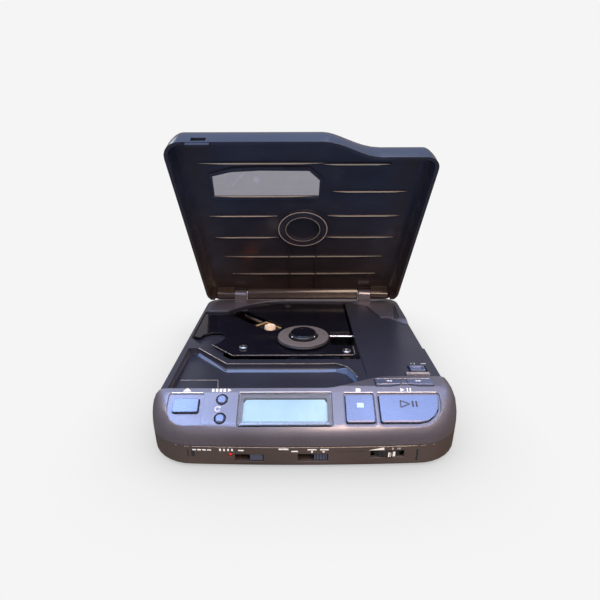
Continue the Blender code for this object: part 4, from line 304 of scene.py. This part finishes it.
def display_glass_painted_glow(name):
    """The liquid crystal panel: pale blue with brighter clouds and a faint grid of cells, lifted by
    a painted glow.
    """
    look = Shader(name, (0.30, 0.48, 0.60), 0.14)
    cells = look.node("ShaderNodeTexBrick")
    look.link(look.place, cells, "Vector")
    look.set(cells, "Scale", DISPLAY_CELLS)
    look.set(cells, "Mortar Size", 0.04)
    look.set(cells, "Color1", (0.30, 0.50, 0.62, 1.0))
    look.set(cells, "Color2", (0.32, 0.52, 0.64, 1.0))
    look.set(cells, "Mortar", (0.26, 0.44, 0.55, 1.0))
    cloud = look.share(look.noise(DISPLAY_DRIFT), 0.5, (0.35, 0.7))
    base = look.mix(cloud, cells.outputs["Color"], (0.58, 0.78, 0.88))
    look.colour(base)
    # Painted light: a glow in the display's own colour makes it brighter than the lamps light it
    look.lit(base, 0.55)
    return look.material


def ink(name, colour, roughness=0.5):
    """Printing ink, a little uneven at its edges; the same finish also draws painted highlights,
    painted shade and a painted sky reflection.
    """
    look = Shader(name, colour, roughness)
    worn = look.noise(INK_WEAR, 3.0, 0.7)
    look.colour(look.drift(worn, colour, 0.62, 1.0, (0.3, 0.62)))
    look.normal(look.bump(worn, 0.004 * MM))
    return look.material


def ribbed_rubber(name, colour):
    """Dull rubber with a coarse grain."""
    look = Shader(name, colour, 0.75)
    grain = look.noise(RUBBER_GRAIN, 3.0, 0.7)
    look.colour(look.drift(grain, colour, 0.7, 1.5))
    look.normal(look.bump(grain, 0.02 * MM, look.soft_edges(0.2 * MM)))
    return look.material


def board_finish(name):
    """Solder mask with the copper's tracks showing through it."""
    look = Shader(name, (0.02, 0.025, 0.04), 0.35)
    tracks = look.node("ShaderNodeTexVoronoi", feature="DISTANCE_TO_EDGE")
    look.link(look.place, tracks, "Vector")
    look.set(tracks, "Scale", BOARD_TRACKS)
    line = look.grey(tracks.outputs["Distance"], 1.0, 0.0, 0.03, 0.07)
    look.colour(look.mix(line, (0.016, 0.020, 0.034), (0.045, 0.055, 0.085)))
    look.normal(look.bump(line, 0.03 * MM))
    return look.material


# The finish of each material slot in the record
KEYS = painted("key_satin", (0.145, 0.168, 0.260), 0.27, 0.65, fleck=0.2, edge=0.45 * MM)
BLACK = moulded("black_plastic", (0.018, 0.018, 0.020), 0.38)
FINISH = {
    "panel_paint": painted("panel_paint", (0.152, 0.142, 0.168), 0.30, 0.65, dust=0.12),
    "base_plastic": painted("base_plastic", (0.092, 0.072, 0.066), 0.42, 0.45, fleck=0.25),
    "plate_gloss": moulded("plate_gloss", (0.005, 0.005, 0.009), 0.12, 0.002 * MM, dust=0.16),
    "lid_gloss": lid_gloss_painted_reflection("lid_gloss"),
    "key_satin": KEYS,
    "window_clear": glassy("window_clear", (0.80, 0.82, 0.85)),
    "lcd_glass": display_glass_painted_glow("lcd_glass"),
    "steel": metal("steel", (0.55, 0.55, 0.57), 0.25, GROUND_STRETCH),
    "chrome": metal("chrome", (0.86, 0.86, 0.88), 0.06),
    "brass": metal("brass", (0.75, 0.52, 0.24), 0.28),
    "rubber": ribbed_rubber("rubber", (0.020, 0.019, 0.020)),
    "black_plastic": BLACK,
    "gear_nylon": moulded("gear_nylon", (0.66, 0.63, 0.56), 0.42),
    "board_resin": board_finish("board_resin"),
    "ribbon_amber": moulded("ribbon_amber", (0.95, 0.20, 0.02), 0.28),
    "lamp_red": moulded("lamp_red", (0.85, 0.02, 0.012), 0.15, glow=(1.0, 0.03, 0.02)),
    "pack_grey": moulded("pack_grey", (0.26, 0.27, 0.29), 0.4),
    "lens_glass": moulded("lens_glass", (0.80, 0.62, 0.45), 0.06, 0.001 * MM),
}

# Nodes that look unlike the rest of their slot, and the deck's part of the upper case
OWN_FINISH = {
    "turntable_mat": ribbed_rubber("mat", (0.105, 0.088, 0.082)),
    "actuator_yoke": moulded("yoke_cream", (0.42, 0.27, 0.12), 0.3),
    "plate_screw_3": BLACK,
    "deck_slide_switch": KEYS,
    "lid_window": glassy("lid_pane", (0.33, 0.32, 0.36)),
}
DECK = painted("deck_paint", (0.032, 0.033, 0.048), 0.30, 0.35, fleck=0.25, dust=0.14)

# Inks for symbols and numbers, a dark ink that also draws painted shade, and inks and metals that
# draw painted highlights and a painted sky reflection as thin strips
PRINT = ink("print_white", (0.80, 0.78, 0.74))
DARK_PRINT_AND_SHADE = ink("dark_print_and_shade", (0.02, 0.022, 0.03))
# Painted highlights on key and rib edges and a painted sky reflection on the recess wall, drawn in
# ink
KEY_HIGHLIGHT = ink("key_highlight", (0.50, 0.34, 0.26), 0.35)
RIB_HIGHLIGHT = ink("rib_highlight", (0.52, 0.43, 0.37), 0.35)
SKY_REFLECTION_BLUE = ink("sky_reflection_blue", (0.10, 0.14, 0.24), 0.3)
# Painted highlights along edges, drawn in metal
HIGHLIGHT_BEIGE = metal("highlight_beige", (0.90, 0.76, 0.66), 0.4)
PALE_BLUE = metal("edge_blue", (0.45, 0.58, 0.85), 0.4)
# A painted highlight on the display window's bevel, drawn in metal
LENS_EDGE_HIGHLIGHT = metal("lens_edge_highlight", (0.24, 0.25, 0.28), 0.3)


# The CAD nodes, welded and smooth

def shown(name, data):
    """A new object in the scene."""
    made = bpy.data.objects.new(name, data)
    bpy.context.scene.collection.objects.link(made)
    return made


def on_deck(face):
    """Whether a face of the upper case belongs to its darker deck."""
    at = face.center - AXIS
    within = abs(at.x) < DECK_HALF or face.normal.z > LEVEL_FACE
    return within and -PANEL_REAR < at.y < DECK_REAR and at.z < RIM + WELD


def smooth_copy(name):
    """A copy of a CAD node with its facets welded and its round faces shaded round."""
    source = NODES[name]
    mesh = source.data.copy()
    mesh.name = name + "_skin"
    work = bmesh.new()
    work.from_mesh(mesh)
    bmesh.ops.remove_doubles(work, verts=work.verts, dist=WELD)
    for face in work.faces:
        face.smooth = True
    for edge in work.edges:
        edge.smooth = not (len(edge.link_faces) == 2 and edge.calc_face_angle() > SHARP)
    work.to_mesh(mesh)
    work.free()
    if "custom_normal" in mesh.attributes:
        mesh.attributes.remove(mesh.attributes["custom_normal"])
    piece = shown(name + "_skin", mesh)
    mesh.materials.clear()
    mesh.materials.append(OWN_FINISH.get(name, FINISH[SLOT_OF[name]]))
    if name == "top_case":
        mesh.materials.append(DECK)
        for face in mesh.polygons:
            face.material_index = int(on_deck(face))
    level = piece.modifiers.new("even", "WEIGHTED_NORMAL")
    level.keep_sharp = True
    level.weight = EVEN_WEIGHT
    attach(piece, source["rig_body"])
    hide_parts(name)
    return piece


SKINS = {name: smooth_copy(name) for name in sorted(NODES)}


# Where marks lie: each of these gives a function from (u, v) and a lift to a point in the frame

def flat_place(matrix):
    """Points on the matrix's own plane."""
    return lambda u, v, lift: matrix @ Vector((u, v, lift))


def deck_place(height):
    """Points on a level face at a height in the case."""
    return flat_place(ABOVE @ Matrix.Translation((0, 0, height)))


def lid_place(rise):
    """Points in plan on the closed lid, a rise below its inner face, carried to the open lid."""
    return lambda u, v, lift: LID_TURN @ Vector((u, v, LID_INNER - rise - lift))


def skin_place(name, matrix, reach):
    """Points on a piece's surface, found by looking at it along the matrix's third axis.

    The look starts a reach off the matrix's plane and has to start outside the piece. Where it
    misses the piece, the point lies on that plane.
    """
    work = bmesh.new()
    work.from_mesh(SKINS[name].data)
    tree = BVHTree.FromBMesh(work)
    work.free()
    inward = -(matrix.to_3x3() @ Vector((0, 0, 1)))

    def place(u, v, lift):
        hit = tree.ray_cast(matrix @ Vector((u, v, reach)), inward)
        return (hit[0] if hit[0] else matrix @ Vector((u, v, 0.0))) - inward * lift
    return place


panel = flat_place(PANEL)
deck = deck_place(RIM)
case_front = skin_place("bottom_case", FRONT, BEFORE_FRONT)
case_top = skin_place("top_case", ABOVE, OVER_CASE)
rocker_top = skin_place("search_rocker", ABOVE, OVER_CASE)
stop_top = skin_place("stop_button", PANEL, OVER_PANEL)
play_top = skin_place("play_pause_button", PANEL, OVER_PANEL)
window_top = skin_place("lcd_window", PANEL, OVER_PANEL)
wheel_face = skin_place("volume_wheel", FRONT, BEFORE_WHEEL)
rib_face = lid_place(RIB_RISE)
clamp_face = lid_place(CLAMP_RISE)


# Outlines, drawn from (u, v) points in mm. u runs to the right. v runs to the rear on level faces
# and the closed lid, up the slope from its rear edge on the panel, and up on the front

def outline(points):
    return [(u * MM, v * MM) for u, v in points]


def oblong(u0, u1, v0, v1):
    return outline([(u0, v0), (u1, v0), (u1, v1), (u0, v1)])


def bars(starts, wide, v0, v1):
    """Upright oblongs of one width."""
    return [oblong(u, u + wide, v0, v1) for u in starts]


def arrow(u, v, size, way=1):
    """A solid triangle that points along u, or against it where the way is -1."""
    tip, back, half = u + way * size / 2, u - way * size / 2, size / 2
    return outline([(back, v - half), (tip, v), (back, v + half)][::way])


def ring_arrow(u, v, radius):
    """An open ring with a head, for repeat."""
    start, sweep, steps, half = 50, 290, 18, 0.13
    outlines = []
    for i in range(steps):
        a, b = (math.radians(start + sweep * k / steps) for k in (i, i + 1))
        corners = ((radius - half, a), (radius + half, a), (radius + half, b), (radius - half, b))
        outlines.append(outline([(u + r * math.cos(t), v + r * math.sin(t)) for r, t in corners]))
    head = ((0.35, 0.75), (1.15, 1.2), (1.05, 0.15))
    outlines.append(outline([(u + radius * x, v + radius * y) for x, y in head]))
    return outlines


def circle(radius, sides=48):
    return [(radius * math.cos(math.tau * i / sides), radius * math.sin(math.tau * i / sides))
            for i in range(sides)]


def ribbon(points, wide, closed=False):
    """A flat strip along a line of points, one quad a span."""
    outlines = []
    spans = zip(points, points[1:] + points[:1]) if closed else zip(points, points[1:])
    for (u0, v0), (u1, v1) in spans:
        long = math.hypot(u1 - u0, v1 - v0)
        du, dv = (v1 - v0) / long * wide / 2, -(u1 - u0) / long * wide / 2
        outlines.append(outline([(u0 + du, v0 + dv), (u1 + du, v1 + dv),
                                 (u1 - du, v1 - dv), (u0 - du, v0 - dv)]))
    return outlines


# Making marks

def mark(name, mesh, material, body):
    """A finished mark that rides on a body."""
    mesh.materials.clear()
    mesh.materials.append(material)
    piece = shown(name, mesh)
    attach(piece, body)
    return piece


def printed(name, outlines, place, material, body="case"):
    """Thin raised ink in the shape of flat outlines; some of these strips are painted highlights,
    painted shade and a painted reflection.
    """
    work = bmesh.new()
    for points in outlines:
        top = [work.verts.new(place(u, v, INK)) for u, v in points]
        low = [work.verts.new(place(u, v, -INK)) for u, v in points]
        work.faces.new(top)
        work.faces.new(low[::-1])
        for i in range(len(points)):
            j = (i + 1) % len(points)
            work.faces.new((top[i], low[i], low[j], top[j]))
    bmesh.ops.recalc_face_normals(work, faces=work.faces)
    mesh = bpy.data.meshes.new(name)
    work.to_mesh(mesh)
    work.free()
    return mark(name, mesh, material, body)


def digits(name, text, u, v, height, place, material, body="case"):
    """Plain numbers as thin ink, centred on u, with v and the height in mm."""
    curve = bpy.data.curves.new(name, "FONT")
    curve.body = text
    curve.size = height
    curve.resolution_u = 3
    curve.align_x = "CENTER"
    helper = shown(name + "_helper", curve)
    graph = bpy.context.evaluated_depsgraph_get()
    mesh = bpy.data.meshes.new_from_object(helper.evaluated_get(graph))
    bpy.data.objects.remove(helper)
    for vertex in mesh.vertices:
        vertex.co = place((u + vertex.co.x) * MM, (v + vertex.co.y) * MM, INK)
    return mark(name, mesh, material, body)


# On the panel above the keys: a triangle over a bar, a list, an open ring, a square, play and pause
LABEL_LOW = -2.3
LABEL_TOP = -0.8
LIST_TICKS = (-38.6, -37.0, -35.4, -33.8)
printed("mark_open", [outline([(-50.6, -1.75), (-47.2, -1.75), (-48.9, -0.35)]),
                      oblong(-50.6, -47.2, -2.45, -2.0)], panel, PRINT)
printed("mark_mode", bars(LIST_TICKS, 1.0, -2.1, LABEL_TOP) + [arrow(-31.2, -1.45, 1.5)],
        panel, PRINT)
printed("mark_repeat", ring_arrow(-35.4, -9.75, 1.0), panel, PRINT)
printed("mark_stop", [oblong(21.3, 23.3, LABEL_LOW, LABEL_TOP)], panel, PRINT)
printed("mark_play", [arrow(40.8, -1.5, 1.7)] + bars((42.6, 43.8), 0.55, LABEL_LOW, -0.7),
        panel, PRINT)

# On the keys: a pale square, an open triangle and two bars, and painted highlights along their
# lower edges
KEY_EDGE_V = -15.4
printed("key_stop", [oblong(21.2, 23.9, -9.6, -7.6)], stop_top, PALE_BLUE,
        BODY_OF["stop_button"])
printed("key_play", ribbon([(39.0, -6.6), (42.6, -8.1), (39.0, -9.6)], 0.45, True)
        + bars((43.6, 45.1), 0.7, -9.4, -6.8), play_top, DARK_PRINT_AND_SHADE, BODY_OF["play_pause_button"])
printed("stop_key_highlight", ribbon([(17.4, KEY_EDGE_V), (27.3, KEY_EDGE_V)], 0.35), stop_top, KEY_HIGHLIGHT,
        BODY_OF["stop_button"])
printed("play_key_highlight", ribbon([(31.4, KEY_EDGE_V), (46.0, KEY_EDGE_V)], 0.35), play_top, KEY_HIGHLIGHT,
        BODY_OF["play_pause_button"])
# Painted highlights along the rims of the keys' wells
printed("well_rim_highlights", ribbon([(16.4, -2.55), (28.4, -2.55)], 0.3)
        + ribbon([(30.2, -2.55), (54.6, -2.55)], 0.3)
        + ribbon([(-55.2, -2.5), (-42.2, -2.5)], 0.4)
        + ribbon([(-27.0, -2.3), (11.0, -2.3)], 0.25), panel, HIGHLIGHT_BEIGE)

# On the search rocker: two arrows each way, and painted highlights along its rims
ROCKER_ARROWS_V = -61.7
ROCKER_REAR_RIM = [(30.8, -59.75), (53.8, -59.75)]
ROCKER_FRONT_RIM = [(30.8, -64.0), (41.0, -63.8), (42.3, -63.0), (43.6, -63.8), (53.8, -64.0)]
printed("key_back", [arrow(u, ROCKER_ARROWS_V, 1.2, -1) for u in (35.4, 36.6)], rocker_top, PRINT,
        BODY_OF["search_rocker"])
printed("key_on", [arrow(u, ROCKER_ARROWS_V, 1.2) for u in (48.0, 49.2)], rocker_top, PRINT,
        BODY_OF["search_rocker"])
printed("rocker_rim_highlights", ribbon(ROCKER_REAR_RIM, 0.35) + ribbon(ROCKER_FRONT_RIM, 0.35),
        rocker_top, HIGHLIGHT_BEIGE, BODY_OF["search_rocker"])

# Painted highlights: a bright strip on the lip before the deck's switch, and one on the display
# window's bevelled lower edge
printed("switch_lip_highlight", ribbon([(49.0, -40.4), (59.8, -40.4)], 1.3), case_top, HIGHLIGHT_BEIGE)
printed("lens_edge_highlight", [oblong(-25.6, 9.8, -16.6, -15.6)], window_top, LENS_EDGE_HIGHLIGHT)

# On the front, over the sliders and the wheel: plain dashes, a wedge and numbers
HOLD_DASHES = (-45.0, -43.0, -41.0, -39.0)
HOLD_TICKS = (-34.2, -32.6, -31.0, -29.4)
SLIDER_DASHES = [(-26.6, -24.4, 7.5, 8.1), (-10.5, -6.6, 8.2, 8.9), (-5.4, -2.8, 7.2, 7.8),
                 (1.0, 4.6, 8.0, 8.6), (6.0, 9.4, 8.0, 8.6), (2.4, 3.2, 6.9, 7.6),
                 (7.0, 7.8, 6.9, 7.6)]
SEAM_V = 9.3
printed("front_marks", bars(HOLD_DASHES, 1.5, 7.5, 8.1) + bars(HOLD_TICKS, 0.7, 7.4, 8.5)
        + [oblong(*dash) for dash in SLIDER_DASHES], case_front, PRINT)
printed("front_wedge", [outline([(25.6, 7.7), (31.6, 7.7), (31.6, 9.0)])], case_front, PRINT)
digits("front_scale", "0   10", 36.4, 7.7, 1.5, case_front, PRINT)
# Painted shade: dark strips stand for the shade in a groove and in notches on the front
printed("front_groove_shade", bars(range(12, 24, 4), 4.0, 7.05, 7.25), case_front, DARK_PRINT_AND_SHADE)
printed("front_notch_shades", [oblong(44.6, 45.4, 2.2, 7.6), oblong(-47.2, -46.7, 4.4, 8.0),
                          oblong(-45.6, -44.2, 4.6, 7.6)], case_front, DARK_PRINT_AND_SHADE)
# A painted highlight along the parting line
printed("parting_line_highlight", ribbon([(u, SEAM_V) for u in range(-52, 53, 4)], 0.22), case_front, HIGHLIGHT_BEIGE)
printed("wheel_mark", bars((33.2, 34.2), 0.7, 4.4, 6.6) + bars((35.2,), 1.0, 4.4, 6.6),
        wheel_face, PRINT, BODY_OF["volume_wheel"])

# On the deck: a painted highlight on the recess's edge and a painted sky reflection on its wall,
# painted highlights on the pocket's step and the plate's edge, and the switch's numbers
RECESS_EDGE = [(-56.5, -11.6), (-38.6, -29.4), (8.0, -29.6), (16.3, -29.3),
               (21.6, -32.9), (24.6, -39.6), (25.1, -43.2)]
WALL_WIDE = 1.3
POCKET_STEP = [(-61.0, -38.5), (-41.7, -38.5), (-40.2, -47.5)]
PLATE_EDGE = [(-50.4, -5.8), (-37.5, -18.55), (25.6, -18.55), (27.15, -17.2), (27.15, -8.0)]
printed("recess_rim_highlight", ribbon(RECESS_EDGE, 0.6), deck, HIGHLIGHT_BEIGE)
printed("recess_wall_reflection", ribbon([(u, v - WALL_WIDE) for u, v in RECESS_EDGE], WALL_WIDE),
        case_top, SKY_REFLECTION_BLUE)
printed("pocket_step_highlight", ribbon(POCKET_STEP, 0.3), deck_place(RECESS_FLOOR), HIGHLIGHT_BEIGE)
digits("switch_scale", "1 2", 54.5, -30.6, 2.0, deck, PRINT)
printed("switch_dash", [oblong(58.6, 61.0, -30.2, -29.8)], deck, PRINT)
printed("plate_rim_highlight", ribbon(PLATE_EDGE, 0.5), deck_place(PLATE_TOP), HIGHLIGHT_BEIGE)

# On the lid: a painted highlight along the crest of each cross rib, as v and two ends in u, thinner
# at its ends; painted highlights along two long ribs; and painted highlights on the clamp ring's
# edges
RIBS = [(-9.8, -52.5, -14.2), (8.0, -52.1, -14.2), (-45.5, 9.6, 43.7), (-27.7, 15.6, 54.9),
        (-9.8, 13.6, 54.2), (8.0, 13.6, 54.0), (25.9, -49.3, 49.9), (43.7, -46.8, 48.3),
        (-46.2, -52.0, 11.0), (-24.6, -48.0, 5.0)]
CREST_TAPER = 0.2
CREST_END, CREST_MIDDLE = 0.34, 0.46
LONG_RIBS = (-8.5, 8.5)
LONG_RIB_ENDS = (17.0, 58.0)
for number, (v, u0, u1) in enumerate(RIBS, start=1):
    taper = (u1 - u0) * CREST_TAPER
    line = [(u0, v - CREST_END), (u0 + taper, v - CREST_MIDDLE), (u1 - taper, v - CREST_MIDDLE),
            (u1, v - CREST_END), (u1 - taper, v + CREST_END), (u0 + taper, v + CREST_END)]
    printed(f"rib_highlight_{number}", [outline(line)], rib_face, RIB_HIGHLIGHT, BODY_OF["lid_shell"])
for number, u in enumerate(LONG_RIBS, start=1):
    printed(f"long_rib_highlight_{number}", ribbon([(u, v) for v in LONG_RIB_ENDS], 0.22), rib_face,
            RIB_HIGHLIGHT, BODY_OF["lid_shell"])
printed("clamp_highlight", ribbon(circle(14.0), 0.4, True), clamp_face, RIB_HIGHLIGHT,
        BODY_OF["lid_shell"])
printed("clamp_inner_highlight", ribbon(circle(9.9), 0.18, True), clamp_face, RIB_HIGHLIGHT,
        BODY_OF["lid_shell"])


# Floor and world: white to camera and transmission rays, a darker room to mirror rays

WHITE = 0.913
FLOOR_HALF = 6.0
SHADOW_REACH = 45 * MM
SHADOW_SAMPLES = 12
SHADOW_TONE = 0.45            # the floor's share of white where the object shades it most
FLOOR_IN_MIRRORS = (0.14, 0.10, 0.08, 1)
SKY_STRENGTH = 1.1
SKY = [(0.0, (0.03, 0.025, 0.022)), (0.5, (0.10, 0.075, 0.06)), (0.62, (0.42, 0.33, 0.28)),
       (0.78, (0.42, 0.45, 0.52)), (0.93, (0.62, 0.80, 1.15)), (1.0, (0.75, 0.95, 1.35))]


def math_of(tree, operation, one, two, clamp=False):
    made = tree.nodes.new("ShaderNodeMath")
    made.operation = operation
    made.use_clamp = clamp
    tree.links.new(one, made.inputs[0])
    tree.links.new(two, made.inputs[1])
    return made.outputs[0]


def blend_of(tree, factor, one, two):
    made = tree.nodes.new("ShaderNodeMixShader")
    for socket, source in enumerate((factor, one.outputs[0], two.outputs[0])):
        tree.links.new(source, made.inputs[socket])
    return made.outputs[0]


def make_floor():
    """A plain pale floor with the object's contact shadow."""
    mesh = bpy.data.meshes.new("floor")
    corners = [(-FLOOR_HALF, -FLOOR_HALF, 0), (FLOOR_HALF, -FLOOR_HALF, 0),
               (FLOOR_HALF, FLOOR_HALF, 0), (-FLOOR_HALF, FLOOR_HALF, 0)]
    mesh.from_pydata(corners, [], [(0, 1, 2, 3)])
    floor = shown("floor", mesh)
    material = bpy.data.materials.new("floor")
    material.use_nodes = True
    tree = material.node_tree
    tree.nodes.clear()
    new = tree.nodes.new
    out = new("ShaderNodeOutputMaterial")
    near = new("ShaderNodeAmbientOcclusion")
    near.samples = SHADOW_SAMPLES
    near.inputs["Distance"].default_value = SHADOW_REACH
    tone = new("ShaderNodeMapRange")
    tone.inputs["To Min"].default_value = WHITE * SHADOW_TONE
    tone.inputs["To Max"].default_value = WHITE
    tree.links.new(near.outputs["AO"], tone.inputs["Value"])
    pale = new("ShaderNodeEmission")
    tree.links.new(tone.outputs["Result"], pale.inputs["Color"])
    dark = new("ShaderNodeEmission")
    dark.inputs["Color"].default_value = FLOOR_IN_MIRRORS
    path = new("ShaderNodeLightPath")
    mirrored = math_of(tree, "SUBTRACT", path.outputs["Is Glossy Ray"],
                       path.outputs["Is Transmission Ray"], clamp=True)
    tree.links.new(blend_of(tree, mirrored, pale, dark), out.inputs[0])
    mesh.materials.append(material)


def make_world():
    """A cool sky above the object and a warm, darker room all round it."""
    world = bpy.data.worlds.new("studio")
    bpy.context.scene.world = world
    world.use_nodes = True
    tree = world.node_tree
    tree.nodes.clear()
    new = tree.nodes.new
    out = new("ShaderNodeOutputWorld")
    place = new("ShaderNodeTexCoord")
    parts = new("ShaderNodeSeparateXYZ")
    tree.links.new(place.outputs["Generated"], parts.inputs[0])
    share = new("ShaderNodeMapRange")
    share.inputs["From Min"].default_value = -1.0
    tree.links.new(parts.outputs["Z"], share.inputs["Value"])
    height = new("ShaderNodeValToRGB")
    band = height.color_ramp
    while len(band.elements) < len(SKY):
        band.elements.new(0.5)
    for element, (at, colour) in zip(band.elements, SKY):
        element.position = at
        element.color = (*colour, 1.0)
    tree.links.new(share.outputs["Result"], height.inputs["Fac"])
    sky = new("ShaderNodeBackground")
    sky.inputs["Strength"].default_value = SKY_STRENGTH
    tree.links.new(height.outputs["Color"], sky.inputs["Color"])
    plain = new("ShaderNodeBackground")
    plain.inputs["Color"].default_value = (WHITE, WHITE, WHITE, 1)
    path = new("ShaderNodeLightPath")
    seen = math_of(tree, "MAXIMUM", path.outputs["Is Camera Ray"],
                   path.outputs["Is Transmission Ray"])
    tree.links.new(blend_of(tree, seen, sky, plain), out.inputs[0])


# Lamps: name, place, aim and size in metres, power in watts, colour
LAMPS = [
    ("overhead", (0.02, -0.02, 0.75), (0, 0, 0.02), (0.75, 0.45), 1.0, (0.95, 0.90, 1.0)),
    ("sky_left", (-0.26, -0.30, 0.62), (-0.04, -0.06, 0.02), (0.34, 0.36), 3.0, (0.34, 0.56, 1.0)),
    ("sky_right", (0.17, -0.22, 0.62), (0.04, -0.06, 0.02), (0.26, 0.18), 0.45, (0.40, 0.60, 1.0)),
    ("front_right", (0.30, -0.58, 0.60), (0.02, -0.05, 0.02), (0.60, 0.30), 7.5, (1.0, 0.74, 0.54)),
    ("front_left", (-0.55, -0.4, 0.5), (-0.04, -0.07, 0.02), (0.22, 0.22), 1.3, (1.0, 0.82, 0.55)),
    ("rear_left", (-0.6, 0.45, 0.5), (0, 0, 0.05), (0.4, 0.4), 1.5, (0.85, 0.92, 1.0)),
]


def area_light(name, at, towards, size, power, colour):
    data = bpy.data.lights.new(name, "AREA")
    data.shape = "RECTANGLE"
    data.size, data.size_y = size
    data.energy = power
    data.color = colour
    light = shown(name, data)
    light.location = at
    light.rotation_euler = (Vector(towards) - Vector(at)).to_track_quat("-Z", "Y").to_euler()


# The camera that took the photo, as fitted to it
FOCAL = 26.45                 # mm, on a sensor this wide
SENSOR_WIDE = 36.0
CLIP_NEAR, CLIP_FAR = 0.01, 50.0
PITCH = math.radians(20.03)
YAW = math.radians(-0.02)
ROLL = math.radians(-0.17)
EYE = AXIS + Vector((-1.86, -226.35, 124.14)) * MM


def make_camera():
    data = bpy.data.cameras.new("camera")
    data.lens = FOCAL
    data.sensor_width = SENSOR_WIDE
    data.clip_start = CLIP_NEAR
    data.clip_end = CLIP_FAR
    camera = shown("camera", data)
    turn = (Matrix.Rotation(YAW, 4, "Z") @ Matrix.Rotation(math.pi / 2 - PITCH, 4, "X")
            @ Matrix.Rotation(ROLL, 4, "Z"))
    camera.matrix_world = Matrix.Translation(EYE) @ turn
    bpy.context.scene.camera = camera


make_floor()
make_world()
for lamp in LAMPS:
    area_light(*lamp)
make_camera()
bpy.context.scene.view_settings.view_transform = "Standard"
